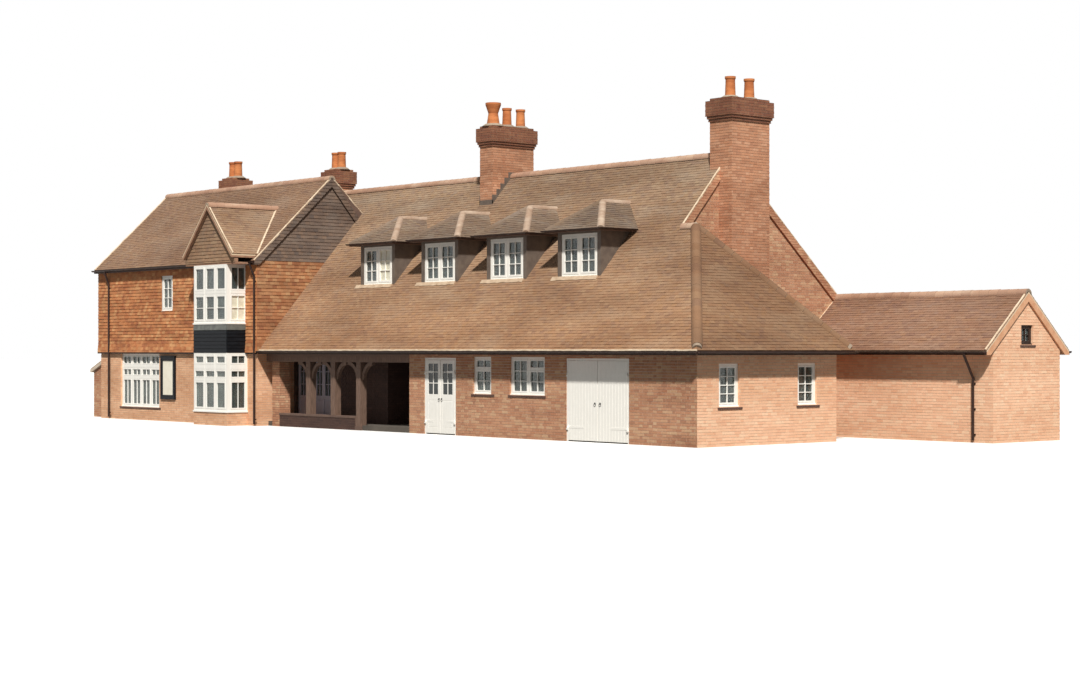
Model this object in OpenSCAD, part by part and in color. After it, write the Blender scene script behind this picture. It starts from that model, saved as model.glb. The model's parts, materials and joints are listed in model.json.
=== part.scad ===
// A long village inn: a low brick range under a deep tiled roof with four hipped
// dormers, a hipped bay at its right end, a low rear range, and a two-storey
// tile-hung wing with a bay window at its left end.
// X runs to the right along the front, Y runs back, Z is up. The origin is on the
// ground under the middle of the main range.

/* [Main range] */
// Length of the main range over its gable walls
main_len = 19100; // [17500:50:24000]
// Depth of the main range over its walls
main_depth = 10400; // [9600:50:12000]
// Distance of the ridge behind the face of the front wall
ridge_back = 4450; // [4000:50:5000]
// Height of the roof's edge at the low eaves
eaves_h = 2400; // [2350:10:2700]
// Height of the main ridge
ridge_h = 7800; // [7400:50:8200]
// Thickness of a brick wall
wall_t = 330; // [220:5:360]
// Thickness of a roof with its rafters, square to the slope
roof_t = 200; // [150:5:230]
// How far the eaves stand out from the walls
eaves_out = 350; // [250:10:400]
// How far a roof stands out from a gable
verge_out = 60; // [30:5:100]
// Thickness of the ground slab
slab_t = 150; // [100:5:180]
// Thickness of an upper floor
floor_t = 220; // [150:5:260]
// Height of the upper floor's top in the main range
attic_floor_h = 3150; // [3000:10:3400]

/* [Right extension] */
// Length of the hipped extension beyond the main gable
ext_len = 3150; // [2900:50:4500]
// Width of the extension's roof from eave to eave
ext_span = 5940; // [5600:20:6400]
// Length of the rear range beyond the main gable
rear_len = 6550; // [5000:50:9000]
// Width of the rear range's roof from eave to eave
rear_span = 3650; // [3300:50:4200]

/* [Wing] */
// Distance of the wing's right wall from the main range's right gable
wing_at = 16100; // [15300:50:18000]
// Length of the wing along the front
wing_len = 10150; // [8800:50:12000]
// Depth of the wing over its walls
wing_depth = 5600; // [5300:50:6200]
// How far the wing's front stands before the main front wall
wing_forward = 350; // [200:10:500]
// Height of the wing roof's edge at its eaves
wing_eaves_h = 5250; // [5200:10:5500]
// Height of the wing's ridge
wing_ridge_h = 8060; // [7700:20:8300]
// How far the wing's eaves stand out
wing_eaves_out = 200; // [120:10:300]
// Height at which the tile hanging starts
hanging_h = 2340; // [2330:10:2500]
// How far the tile hanging stands out from the brick below it
hanging_t = 70; // [40:5:90]
// Height of the wing's upper floor
wing_floor_h = 2850; // [2700:10:3000]

/* [Bay window] */
// Width of the two-storey bay
bay_w = 1990; // [1800:10:2200]
// How far the bay stands out from the wing
bay_out = 780; // [500:10:900]
// Distance of the bay's middle from the wing's right corner
bay_at = 1575; // [1550:5:2400]
// Height of the brick plinth under the bay
bay_plinth_h = 460; // [300:10:600]
// Height of the lower bay window's head
bay_head_h = 2330; // [2200:10:2400]
// Height of the upper bay window's sill
bay_sill_h = 3290; // [3200:10:3400]
// Height of the upper bay window's head
bay_top_h = 5160; // [4900:10:5180]
// Height of the lead flashing over the boarded panel
bay_lead_h = 230; // [150:5:250]
// Width of the bay roof from eave to eave
bay_roof_w = 3000; // [2800:10:3050]
// Height of the bay roof's edge
bay_eaves_h = 5470; // [5400:10:5520]
// Height of the bay roof's ridge
bay_ridge_h = 7110; // [6900:10:7300]
// Thickness of the bay roof and of the dormer roofs
light_roof_t = 110; // [80:5:130]

/* [Dormers] */
// Number of dormers
dormers = 4; // [2:1:4]
// Distance from one dormer's middle to the next
dormer_step = 3100; // [2800:20:3300]
// Distance of the right dormer's middle from the main gable
dormer_at = 2800; // [2500:20:3200]
// Distance of the dormer fronts behind the roof's edge
dormer_back = 1800; // [1700:10:1900]
// Width of a dormer over its cheeks
dormer_w = 1770; // [1650:10:1900]
// Thickness of a dormer's cheeks and front
cheek_t = 130; // [80:5:150]
// Width of a dormer's window
dormer_window_w = 1470; // [1300:10:1490]
// Height of a dormer's window
dormer_window_h = 1170; // [1000:10:1180]
// Height of a dormer roof's edge
dormer_eaves_h = 5720; // [5700:10:5850]
// How far a dormer's eaves stand out
dormer_eaves_out = 260; // [180:10:300]
// Height of a dormer's ridge
dormer_ridge_h = 6560; // [6450:10:6700]

/* [Ground storey openings] */
// Distance of the garage doors' middle from the main gable, towards the left
garage_at = 490; // [400:10:700]
// Width of the garage doorway
garage_w = 2420; // [2200:10:2600]
// Height of the garage doorway
garage_h = 2200; // [2100:10:2220]
// Distance of the side doorway's middle from the main gable
side_door_at = 7125; // [7000:5:7200]
// Width of the side doorway
side_door_w = 1450; // [1300:10:1500]
// Height of the side doorway
side_door_h = 2200; // [2100:10:2220]
// Distance of the wide window's middle from the main gable
wide_window_at = 3305; // [3100:5:3500]
// Width of the wide window
wide_window_w = 1470; // [1200:10:1500]
// Distance of the small window's middle from the main gable
small_window_at = 5235; // [5000:5:5350]
// Width of the small window
small_window_w = 810; // [600:10:850]
// Height of the front windows' sills
ground_sill_h = 1190; // [1000:10:1300]
// Height of the front windows' heads
ground_head_h = 2230; // [2100:10:2240]
// Width of the end wall's windows
end_window_w = 750; // [600:10:900]
// Height of the end wall's window sills
end_sill_h = 990; // [900:10:1100]
// Height of the end wall's window heads
end_head_h = 2080; // [1950:10:2100]

/* [Wing openings] */
// Width of the wing's ground window
wing_window_w = 2640; // [2200:10:2700]
// Distance of the ground window's middle from the wing's left corner
wing_window_at = 2730; // [2600:10:2800]
// Height of the ground window's sill
wing_sill_h = 450; // [300:10:600]
// Height of the ground window's head
wing_head_h = 2290; // [2100:10:2320]
// Width of the narrow upper window
narrow_w = 750; // [600:10:850]
// Distance of the narrow window's middle from the wing's left corner
narrow_at = 4690; // [4400:5:4800]
// Height of the narrow window's sill
narrow_sill_h = 3750; // [3600:10:3900]
// Height of the narrow window's head
narrow_head_h = 4940; // [4700:10:4980]

/* [Rear openings] */
// Distance of the first rear window's middle from the main gable
rear_first = 1900; // [1500:50:2200]
// Distance from one rear window's middle to the next
rear_step = 3600; // [2800:50:4500]
// Distance from one of the rear range's windows to the next
range_step = 2700; // [2000:50:3200]
// Distance of the wing's first rear window from its left corner
wing_rear_at = 1400; // [1200:50:1800]
// Distance between the wing's two rear windows
wing_rear_step = 3500; // [2800:50:3600]
// Side of the opening high in the rear range's gable
loft_light = 520; // [400:10:600]
// Height of that opening's sill
loft_sill_h = 2560; // [2450:10:2650]

/* [Porch] */
// Distance of the porch's right pier from the main gable
porch_at = 8570; // [8500:5:8650]
// Width of the entrance lobby
lobby_w = 2460; // [2200:10:2600]
// Depth of the porch behind the face of the front wall
porch_deep = 1050; // [900:10:1300]
// Further depth of the lobby behind the porch
lobby_deep = 1200; // [1000:10:1600]
// Side of an oak post
post_w = 225; // [180:5:260]
// Side of the left brick pier
pier_w = 400; // [330:5:450]
// Height of the underside of the porch beam
beam_under = 2050; // [1950:10:2100]
// Depth of the porch beam, front to back
beam_t = 240; // [200:5:280]
// Height of the dwarf wall between the posts
dwarf_h = 420; // [300:10:600]
// Distance of the glazed screen's middle from the wing
screen_at = 1115; // [1060:5:1600]
// Width of the glazed screen at the back of the porch
screen_w = 1900; // [1600:10:2100]
// Height of the screen
screen_h = 2050; // [1900:10:2100]
// Height of the solid panels at the foot of the screen
screen_panel_h = 740; // [600:10:1000]
// Width of the entrance door
entrance_w = 1000; // [850:10:1100]
// Height of the entrance door
entrance_h = 2030; // [1950:10:2100]

/* [Chimneys] */
// Distance of the middle chimney's axis from the main gable
middle_stack_at = 9450; // [9000:50:10200]
// Distance of the wing chimney's axis from the wing's left corner
wing_stack_at = 2550; // [1900:50:4200]
// Distance of the wing chimney's axis behind the wing's ridge
wing_stack_back = 1200; // [900:50:1600]
// Distance of the end chimney's axis behind the main ridge
end_stack_back = 350; // [200:10:500]
// Height of the main chimneys
chimney_h = 9300; // [8900:50:9600]
// Height of the two small chimneys
small_chimney_h = 8600; // [8450:10:9000]
// Width of the middle chimney along the ridge
middle_stack_w = 600; // [500:10:800]
// Depth of the middle chimney across the ridge
middle_stack_d = 1650; // [1400:10:1900]
// Width of the small stacks
small_stack_w = 700; // [600:10:800]
// Depth of the end stack along its gable
end_stack_d = 1500; // [1200:10:1700]
// How far the end stack stands out from its gable
end_stack_out = 480; // [300:10:600]
// How far the cap stands out from a stack
cap_out = 90; // [50:5:120]
// Height of the cap
cap_h = 640; // [400:10:700]
// Height of the large flared pot
big_pot_h = 720; // [500:10:900]
// Height of the plain pots
pot_h = 600; // [400:10:800]

/* [Joinery and trim] */
// Width of a window frame's face
frame_w = 60; // [45:1:80]
// Depth of a window frame
frame_d = 80; // [60:1:100]
// Thickness of a pane
glass_t = 10; // [6:1:14]
// Thickness of a door leaf
leaf_t = 50; // [40:1:60]
// Gap round a door leaf
leaf_gap = 6; // [5:1:10]
// Diameter of a hinge pin
pin_d = 24; // [16:1:28]
// Diameter of a gutter
gutter_d = 110; // [90:5:130]
// Diameter of a downpipe
downpipe_d = 70; // [60:1:90]
// Radius of the ridge and hip tiles
ridge_tile_r = 130; // [100:5:150]

/* [Notice board and store] */
// Width of the notice board
board_w = 950; // [700:10:1000]
// Height of the notice board
board_h = 1450; // [1200:10:1500]
// Height of the notice board's foot
board_sill = 750; // [600:10:900]
// Distance of the notice board's middle from the wing's left corner
board_at = 4675; // [4600:5:5100]
// Width of the lean-to store from the wing's wall
store_w = 1450; // [1200:10:1800]
// Depth of the store, front to back
store_d = 3000; // [2400:50:4200]
// Distance of the store behind the wing's front
store_back = 500; // [300:10:900]
// Height of the store's roof against the wing
store_top = 2330; // [2200:10:2340]
// Height of the store's low eave
store_low = 1700; // [1600:10:1850]

/* [Hidden] */
$fn = 48;

// Main range: its walls, eaves, ridge and slopes
xr = main_len / 2;
xl = -main_len / 2;
yf = -main_depth / 2;
yb = main_depth / 2;
ye = yf - eaves_out;
yre = yb + eaves_out;
yr = yf + ridge_back;
front_tan = (ridge_h - eaves_h) / (yr - ye);
rear_tan = (ridge_h - eaves_h) / (yre - yr);
soffit_drop = 110;
roof_seat = 0.3;
wall_top_t = roof_t + roof_seat;
far = 60000;
slack = 1;

// Extension and rear range, whose slopes carry on those of the main roof
ext_x = xr + ext_len;
ext_eave_x = ext_x + eaves_out;
ext_eave_y = ye + ext_span;
ext_y = ext_eave_y - eaves_out;
ext_ridge_y = ye + ext_span / 2;
ext_ridge_h = eaves_h + ext_span / 2 * front_tan;
ext_top_x = ext_eave_x - ext_span / 2;
rear_x = xr + rear_len;
rear_eave_y = yre - rear_span;
rear_y = rear_eave_y + eaves_out;
rear_ridge_y = yre - rear_span / 2;
rear_ridge_h = eaves_h + rear_span / 2 * rear_tan;

// Wing
wx1 = xr - wing_at;
wx0 = wx1 - wing_len;
wy0 = yf - wing_forward;
wy1 = wy0 + wing_depth;
wyr = (wy0 + wy1) / 2;
wing_verge = verge_out + hanging_t;

// Bay on the wing's front
bay_x = wx1 - bay_at;
bay_y = wy0 - bay_out;
bay_front_out = 130;
bay_gable_t = 100;
panel_set = 25;
bay_soffit_t = 60;
bay_left = bay_x - bay_w / 2;
bay_right = bay_x + bay_w / 2;
bay_roof_left = bay_x - bay_roof_w / 2;
bay_roof_right = bay_x + bay_roof_w / 2;

// Dormers
dormer_xs = [for (i = [0:dormers - 1]) xr - dormer_at - i * dormer_step];
dormer_y = ye + dormer_back;
dormer_half = dormer_w / 2 + dormer_eaves_out;
dormer_tan = (dormer_ridge_h - dormer_eaves_h) / dormer_half;
dormer_hole_y = ye + (dormer_eaves_h - eaves_h) / front_tan;
dormer_sill_up = 20;
dormer_sill_h = eaves_h + dormer_back * front_tan + dormer_sill_up;
dormer_roof_edge = 60;

// Porch and lobby behind the posts
porch_x = xr - porch_at;
lobby_x = porch_x - lobby_w;
porch_y = yf + porch_deep;
lobby_y = porch_y + lobby_deep;
post_step = 1330;
post_in = 20;
pad_h = 120;
pad_out = 45;
dwarf_t = 215;
coping_h = 60;
coping_out = 20;
dwarf_y = yf + 5;
pier_x = wx1 + 330;
brace_r = 520;
brace_in = 80;
brace_over = 30;
brace_t = 110;
attic_under = attic_floor_h - floor_t;

// Chimneys: [x, y, width along x, depth along y, height]
middle_stack = [xr - middle_stack_at, yr, middle_stack_w, middle_stack_d, chimney_h];
left_stack = [xl + wall_t + small_stack_w / 2, yr, small_stack_w, small_stack_w, small_chimney_h];
wing_stack = [wx0 + wing_stack_at, wyr + wing_stack_back, small_stack_w, small_stack_w, small_chimney_h];
end_stack_w = end_stack_out + wall_t;
end_stack = [xr + (end_stack_out - wall_t) / 2, yr + end_stack_back, end_stack_w, end_stack_d, chimney_h];
stacks = [middle_stack, left_stack, wing_stack, end_stack];
flue = 220;
flue_foot_h = 1000;
course_h = 75;

// Window reveals in brick and in tile hanging
reveal = 60;
tile_reveal = 20;

// Windows: [x, y, z, turn, width, height, lights, transom height]
function window(x, y, z, turn, w, h, lights, transom = 0) = [x, y, z, turn, w, h, lights, transom];
ground_h = ground_head_h - ground_sill_h;
end_h = end_head_h - end_sill_h;
wing_h = wing_head_h - wing_sill_h;
narrow_h = narrow_head_h - narrow_sill_h;
upper_y = hanging_t - tile_reveal;
end_window_in = 1500;
side_window_back = 1300;
wing_transom_share = 0.74;
bay_transom_share = 0.72;
rear_count = floor((main_len - 2 * rear_first) / rear_step);
range_count = floor((rear_len - 2 * rear_first) / range_step);
wing_rear_xs = [wx0 + wing_rear_at, wx0 + wing_rear_at + wing_rear_step];

front_list = [
    window(xr - wide_window_at, yf + reveal, ground_sill_h, 0, wide_window_w, ground_h, 2),
    window(xr - small_window_at, yf + reveal, ground_sill_h, 0, small_window_w, ground_h, 1)];
end_list = [for (y = [ye + end_window_in, ext_eave_y - end_window_in])
    window(ext_x - reveal, y, end_sill_h, 90, end_window_w, end_h, 1)];
rear_list = [for (i = [0:rear_count])
    window(xr - rear_first - i * rear_step, yb - reveal, ground_sill_h, 180, wide_window_w, ground_h, 2)];
rear_range_list = [for (i = [0:range_count])
    window(xr + rear_first + i * range_step, yb - reveal, ground_sill_h, 180, small_window_w, ground_h, 1)];
rear_gable_list = [window(rear_x - reveal, rear_ridge_y, loft_sill_h, 90, loft_light, loft_light, 1)];
wing_ground_list = [
    window(wx0 + wing_window_at, wy0 + reveal, wing_sill_h, 0, wing_window_w, wing_h, 4,
        wing_h * wing_transom_share)];
wing_ground_rear_list = [for (x = wing_rear_xs)
    window(x, wy1 - reveal, ground_sill_h, 180, wide_window_w, ground_h, 2)];
wing_ground_side_list = [
    window(wx0 + reveal, wyr + side_window_back, ground_sill_h, 270, small_window_w, ground_h, 1)];
wing_upper_list = [
    window(wx0 + narrow_at, wy0 - upper_y, narrow_sill_h, 0, narrow_w, narrow_h, 1)];
wing_upper_rear_list = [for (x = wing_rear_xs)
    window(x, wy1 + upper_y, narrow_sill_h, 180, wide_window_w, narrow_h, 2)];
wing_upper_side_list = [window(wx0 - upper_y, wyr, narrow_sill_h, 270, wide_window_w, narrow_h, 2)];
dormer_list = [for (x = dormer_xs)
    window(x, dormer_y + tile_reveal, dormer_sill_h, 0, dormer_window_w, dormer_window_h, 2)];
wing_ground_lists = concat(wing_ground_list, wing_ground_rear_list, wing_ground_side_list);
wing_upper_lists = concat(wing_upper_list, wing_upper_rear_list, wing_upper_side_list);
ground_lists = concat(front_list, end_list, rear_list, rear_range_list, rear_gable_list, wing_ground_lists);
upper_lists = concat(wing_upper_lists, dormer_list);

// Rise of a sloping roof of the given thickness, measured straight up
function plumb(t, slope) = t * sqrt(1 + slope * slope);

// Solids drawn as sections and run along x or along y
module along_x(x0, x1) {
    translate([x0, 0, 0]) rotate([90, 0, 90]) linear_extrude(x1 - x0) children();
}

module along_y(y0, y1) {
    translate([0, y1, 0]) rotate([90, 0, 0]) linear_extrude(y1 - y0) children();
}

// A box between two corners
module block(low, high) {
    translate(low) cube(high - low);
}

// A round bar between two points
module rod(p, q, r) {
    d = q - p;
    translate(p) rotate([0, acos(d[2] / norm(d)), atan2(d[1], d[0])]) cylinder(h = norm(d), r = r);
}

// The section below a two-sided roof, lowered by a thickness square to each slope
module under_roof(y0, y1, top_y, edge_z, top_z, t) {
    s0 = (top_z - edge_z) / (top_y - y0);
    s1 = (top_z - edge_z) / (y1 - top_y);
    d0 = plumb(t, s0);
    d1 = plumb(t, s1);
    shift = (d0 - d1) / (s0 + s1);
    foot0 = edge_z - d0;
    foot1 = edge_z - d1;
    polygon([[y0, 0], [y0, foot0], [top_y + shift, top_z + shift * s0 - d0], [y1, foot1], [y1, 0]]);
}

module main_section(t) {
    under_roof(ye, yre, yr, eaves_h, ridge_h, t);
}

module wing_section(t) {
    under_roof(wy0 - wing_eaves_out, wy1 + wing_eaves_out, wyr, wing_eaves_h, wing_ridge_h, t);
}

module ext_section(t) {
    under_roof(ye, ext_eave_y, ext_ridge_y, eaves_h, ext_ridge_h, t);
}

module rear_section(t) {
    under_roof(rear_eave_y, yre, rear_ridge_y, eaves_h, rear_ridge_h, t);
}

// The part of a section above a height, which cuts a roof level under its edges
module above(z) {
    intersection() {
        children();
        translate([-far, z]) square([2 * far, far]);
    }
}

// The space that the main roof's slopes take up, with or without the roof's own thickness
module main_space(t) {
    along_x(xl - verge_out, xr + verge_out) main_section(t);
}

// The space that the wing takes up, which the main range is built against
module wing_space() {
    along_x(wx0 - wing_verge, wx1 + wing_verge) above(wing_eaves_h - soffit_drop) wing_section(0);
    along_x(wx0, wx1) intersection() {
        wing_section(0);
        translate([wy0, 0]) square([wing_depth, far]);
    }
}

// The space below the extension's three slopes, lowered by t square to them
module ext_space(t) {
    d = plumb(t, front_tan);
    intersection() {
        along_x(xr, ext_eave_x) ext_section(t);
        along_y(-far, far) polygon([[xr - far, 0], [xr - far, ext_ridge_h - d],
            [ext_top_x, ext_ridge_h - d], [ext_eave_x, eaves_h - d], [ext_eave_x, 0]]);
    }
}

// The main roof's own edge beyond the right gable, which the low roofs stop against
module verge_strip() {
    along_x(xr, xr + verge_out) difference() {
        main_section(0);
        main_section(roof_t);
    }
}

// The shafts that floors and roofs leave open for the chimneys
module shafts() {
    for (s = stacks) {
        stack_band(s, 0, -slack, s[4]);
    }
}

// Windows: frames, panes and the holes they fill
module place(w) {
    translate([w[0], w[1], w[2]]) rotate([0, 0, w[3]]) children();
}

module frame_face(w, h, lights, transom) {
    light_w = (w - frame_w) / lights;
    difference() {
        translate([-w / 2, 0]) square([w, h]);
        translate([frame_w - w / 2, frame_w]) square([w - 2 * frame_w, h - 2 * frame_w]);
    }
    for (i = [1:1:lights - 1]) {
        translate([i * light_w - w / 2, 0]) square([frame_w, h]);
    }
    if (transom > 0) {
        translate([-w / 2, transom - frame_w / 2]) square([w, frame_w]);
    }
}

module frames(list) {
    for (w = list) {
        place(w) along_y(0, frame_d) frame_face(w[4], w[5], w[6], w[7]);
    }
}

module panes(list) {
    for (w = list) {
        place(w) along_y((frame_d - glass_t) / 2, (frame_d + glass_t) / 2) difference() {
            translate([-w[4] / 2, 0]) square([w[4], w[5]]);
            frame_face(w[4], w[5], w[6], w[7]);
        }
    }
}

module window_holes(list) {
    for (w = list) {
        place(w) translate([-w[4] / 2, -wall_t, 0]) cube([w[4], 3 * wall_t, w[5]]);
    }
}

// Walls of the main range and the extension, which share one front
module front_run(x0, x1, z0) {
    intersection() {
        block([x0, yf, z0], [x1, yf + wall_t, ridge_h]);
        union() {
            main_under_long();
            ext_space(wall_top_t);
        }
    }
}

module main_under_long() {
    along_x(xl, xr) main_section(wall_top_t);
}

garage_x = xr - garage_at;
side_door_x = xr - side_door_at;

module front_wall() color("#b9785c") difference() {
    union() {
        front_run(garage_x + garage_w / 2, ext_x, 0);
        front_run(side_door_x + side_door_w / 2, garage_x - garage_w / 2, 0);
        front_run(porch_x, side_door_x - side_door_w / 2, 0);
    }
    window_holes(front_list);
    shafts();
}

module door_lintels() color("#b9785c") {
    front_run(garage_x - garage_w / 2, garage_x + garage_w / 2, garage_h);
    front_run(side_door_x - side_door_w / 2, side_door_x + side_door_w / 2, side_door_h);
}

module rear_wall() color("#b9785c") difference() {
    intersection() {
        block([xl + wall_t, yb - wall_t, 0], [rear_x - wall_t, yb, ridge_h]);
        along_x(xl, rear_x) rear_section(wall_top_t);
    }
    window_holes(concat(rear_list, rear_range_list));
}

module gable_walls() color("#b9785c") difference() {
    union() {
        along_x(xl, xl + wall_t) main_section_walls();
        difference() {
            along_x(xr - wall_t, xr) difference() {
                main_section_walls();
                translate([yb - wall_t, 0]) square([wall_t, ridge_h]);
                translate([yf, 0]) square([wall_t, ridge_h]);
            }
            block([xr - wall_t, yf, -slack], [xr, passage_y, attic_under]);
        }
    }
    wing_space();
    shafts();
}

// The garage runs on under the main gable as far as the end chimney
passage_gap = 50;
passage_y = end_stack[1] - end_stack[3] / 2 - passage_gap;

module main_section_walls() {
    intersection() {
        main_section(wall_top_t);
        translate([yf, 0]) square([main_depth, ridge_h]);
    }
}

// The right-hand ends of the extension and of the rear range
module end_walls() color("#c98a68") difference() {
    union() {
        intersection() {
            block([ext_x - wall_t, yf + wall_t, 0], [ext_x, ext_y, ridge_h]);
            ext_space(wall_top_t);
        }
        along_x(rear_x - wall_t, rear_x) intersection() {
            rear_section(wall_top_t);
            translate([rear_y, 0]) square([yb - rear_y, ridge_h]);
        }
    }
    window_holes(concat(end_list, rear_gable_list));
}

// The extension's back and the rear range's front, which face each other across a yard
module yard_walls() color("#b9785c") {
    difference() {
        intersection() {
            block([xr, ext_y - wall_t, 0], [ext_x - wall_t, ext_y, ridge_h]);
            ext_space(wall_top_t);
        }
        shafts();
    }
    intersection() {
        block([xr, rear_y, 0], [rear_x - wall_t, rear_y + wall_t, ridge_h]);
        along_x(xr, rear_x) rear_section(wall_top_t);
    }
}

// Roofs of the low ranges
module main_roof() {
    difference() {
        along_x(xl - verge_out, xr + verge_out) above(eaves_h - soffit_drop) difference() {
            main_section(0);
            main_section(roof_t);
        }
        wing_space();
        shafts();
    }
}

module dormer_bodies() {
    for (x = dormer_xs) {
        block([x - dormer_w / 2, dormer_y, eaves_h], [x + dormer_w / 2, dormer_hole_y, ridge_h]);
    }
}

module main_roof_front() color("#8a6450") difference() {
    main_roof();
    block([-far, yr, 0], [far, far, far]);
    dormer_bodies();
}

module main_roof_rear() color("#8a6450") difference() {
    main_roof();
    block([-far, -far, 0], [far, yr, far]);
}

module extension_roof() color("#8a6450") difference() {
    ext_space(0);
    ext_space(roof_t);
    block([xr, -far, -slack], [far, far, eaves_h - soffit_drop]);
    verge_strip();
    shafts();
}

module rear_range_roof() color("#8a6450") difference() {
    along_x(xr, rear_x + verge_out) above(eaves_h - soffit_drop) difference() {
        rear_section(0);
        rear_section(roof_t);
    }
    verge_strip();
}

// Wing
module wing_box() {
    difference() {
        intersection() {
            block([wx0, wy0, 0], [wx1, wy1, wing_ridge_h]);
            along_x(wx0, wx1) wing_section(wall_top_t);
        }
        window_holes(wing_ground_lists);
        window_holes(wing_upper_lists);
        bay_holes();
        shafts();
    }
}

module bay_holes() {
    x0 = bay_left + frame_d;
    x1 = bay_right - frame_d;
    block([x0, wy0 - slack, bay_plinth_h], [x1, wy0 + wall_t + slack, bay_head_h]);
    block([x0, wy0 - hanging_t - slack, bay_sill_h], [x1, wy0 + wall_t + slack, bay_top_h]);
}

module wing_front_wall() color("#b9785c") intersection() {
    wing_box();
    block([wx0, wy0, 0], [wx1, wy0 + wall_t, wing_ridge_h]);
}

module wing_rear_wall() color("#b9785c") intersection() {
    wing_box();
    block([wx0, wy1 - wall_t, 0], [wx1, wy1, wing_ridge_h]);
}

module wing_gable_walls() color("#b9785c") intersection() {
    wing_box();
    union() {
        block([wx0, wy0 + wall_t, 0], [wx0 + wall_t, wy1 - wall_t, wing_ridge_h]);
        block([wx1 - wall_t, wy0 + wall_t, 0], [wx1, wy1 - wall_t, wing_ridge_h]);
    }
}

module wing_tile_hanging() color("#b5532c") difference() {
    intersection() {
        block([wx0 - hanging_t, wy0 - hanging_t, hanging_h],
            [wx1 + hanging_t, wy1 + hanging_t, wing_ridge_h]);
        along_x(wx0 - hanging_t, wx1 + hanging_t) wing_section(wall_top_t);
    }
    block([wx0, wy0, 0], [wx1, wy1, wing_ridge_h]);
    window_holes(wing_upper_lists);
    block([bay_left, bay_y, 0], [bay_right, wy0, wing_ridge_h]);
    main_space(0);
}

module wing_roof() {
    difference() {
        along_x(wx0 - wing_verge, wx1 + wing_verge) above(wing_eaves_h - soffit_drop) difference() {
            wing_section(0);
            wing_section(roof_t);
        }
        along_y(-far, wy0) bay_section(0);
        shafts();
    }
}

module wing_roof_front() color("#8a6450") difference() {
    wing_roof();
    block([-far, wyr, 0], [far, far, far]);
}

module wing_roof_rear() color("#8a6450") difference() {
    wing_roof();
    block([-far, -far, 0], [far, wyr, far]);
}

// Bay: a brick plinth, windows on three sides, a boarded panel between them and a small gabled roof
module bay_section(t) {
    under_roof(bay_roof_left, bay_roof_right, bay_x, bay_eaves_h, bay_ridge_h, t);
}

module bay_plinth() color("#b9785c") {
    block([bay_left, bay_y, 0], [bay_right, wy0, bay_plinth_h]);
}

module bay_frame(z0, z1, transom) {
    h = z1 - z0;
    side_w = bay_out - frame_d;
    translate([bay_x, bay_y, z0]) along_y(0, frame_d) frame_face(bay_w, h, 3, transom);
    for (side = [-1, 1]) {
        translate([bay_x + side * (bay_w - frame_d) / 2 - frame_d / 2, wy0 - side_w / 2, z0])
            along_x(0, frame_d) frame_face(side_w, h, 1, transom);
    }
}

module bay_panes(z0, z1, transom) {
    h = z1 - z0;
    side_w = bay_out - frame_d;
    in0 = (frame_d - glass_t) / 2;
    translate([bay_x, bay_y, z0]) along_y(in0, in0 + glass_t) difference() {
        translate([-bay_w / 2, 0]) square([bay_w, h]);
        frame_face(bay_w, h, 3, transom);
    }
    for (side = [-1, 1]) {
        translate([bay_x + side * (bay_w - frame_d) / 2 - frame_d / 2, wy0 - side_w / 2, z0])
            along_x(in0, in0 + glass_t) difference() {
                translate([-side_w / 2, 0]) square([side_w, h]);
                frame_face(side_w, h, 1, transom);
            }
    }
}

lower_bay_h = bay_head_h - bay_plinth_h;
upper_bay_h = bay_top_h - bay_sill_h;
lower_transom = lower_bay_h * bay_transom_share;
upper_transom = upper_bay_h / 2;

module bay_windows() color("white") {
    bay_frame(bay_plinth_h, bay_head_h, lower_transom);
    bay_frame(bay_sill_h, bay_top_h, upper_transom);
}

module bay_panel() color("#23262b") difference() {
    block([bay_left, bay_y, bay_head_h], [bay_right, wy0, bay_sill_h]);
    block([bay_left + frame_d, bay_y + frame_d, bay_head_h + frame_w],
        [bay_right - frame_d, wy0 + slack, bay_sill_h - frame_w]);
    block([bay_left + frame_w, bay_y - slack, bay_head_h + frame_w],
        [bay_right - frame_w, bay_y + panel_set, bay_sill_h - bay_lead_h]);
}

// The bay's roof with the gable and the soffit that carry it
module bay_roof() color("#8a6450") {
    difference() {
        along_y(bay_y - bay_front_out, wyr) above(bay_eaves_h - soffit_drop) difference() {
            bay_section(0);
            bay_section(light_roof_t);
        }
        wing_space();
    }
    along_y(bay_y, bay_y + bay_gable_t) above(bay_top_h) bay_section(light_roof_t);
    block([bay_roof_left, bay_y, bay_top_h], [bay_roof_right, wy0 - hanging_t, bay_top_h + bay_soffit_t]);
}

// Dormers
module dormer_section(x, t) {
    under_roof(x - dormer_half, x + dormer_half, x, dormer_eaves_h, dormer_ridge_h, t);
}

module dormer_cover(x, t) {
    y0 = dormer_y - dormer_eaves_out;
    d = plumb(t, dormer_tan);
    intersection() {
        along_y(y0, yr) dormer_section(x, t);
        along_x(x - dormer_half, x + dormer_half) polygon([[y0, 0], [y0, dormer_eaves_h - d],
            [y0 + dormer_half, dormer_ridge_h - d], [yr, dormer_ridge_h - d], [yr, 0]]);
    }
}

module dormer_roofs() color("#8a6450") difference() {
    for (x = dormer_xs) {
        difference() {
            dormer_cover(x, 0);
            dormer_cover(x, light_roof_t);
            block([x - dormer_w, ye, 0], [x + dormer_w, yr, dormer_eaves_h - dormer_roof_edge]);
        }
    }
    main_space(0);
}

module dormer_walls() color("#6d6660") difference() {
    for (x = dormer_xs) {
        difference() {
            intersection() {
                dormer_bodies();
                dormer_cover(x, light_roof_t);
            }
            block([x - dormer_w / 2 + cheek_t, dormer_y + cheek_t, 0],
                [x + dormer_w / 2 - cheek_t, dormer_hole_y + slack, ridge_h]);
        }
    }
    window_holes(dormer_list);
    main_space(roof_t);
}

// Porch: back walls, lobby, posts, beam, dwarf wall and glazed screen
screen_x = wx1 + screen_at;
panel_t = 32;

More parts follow.
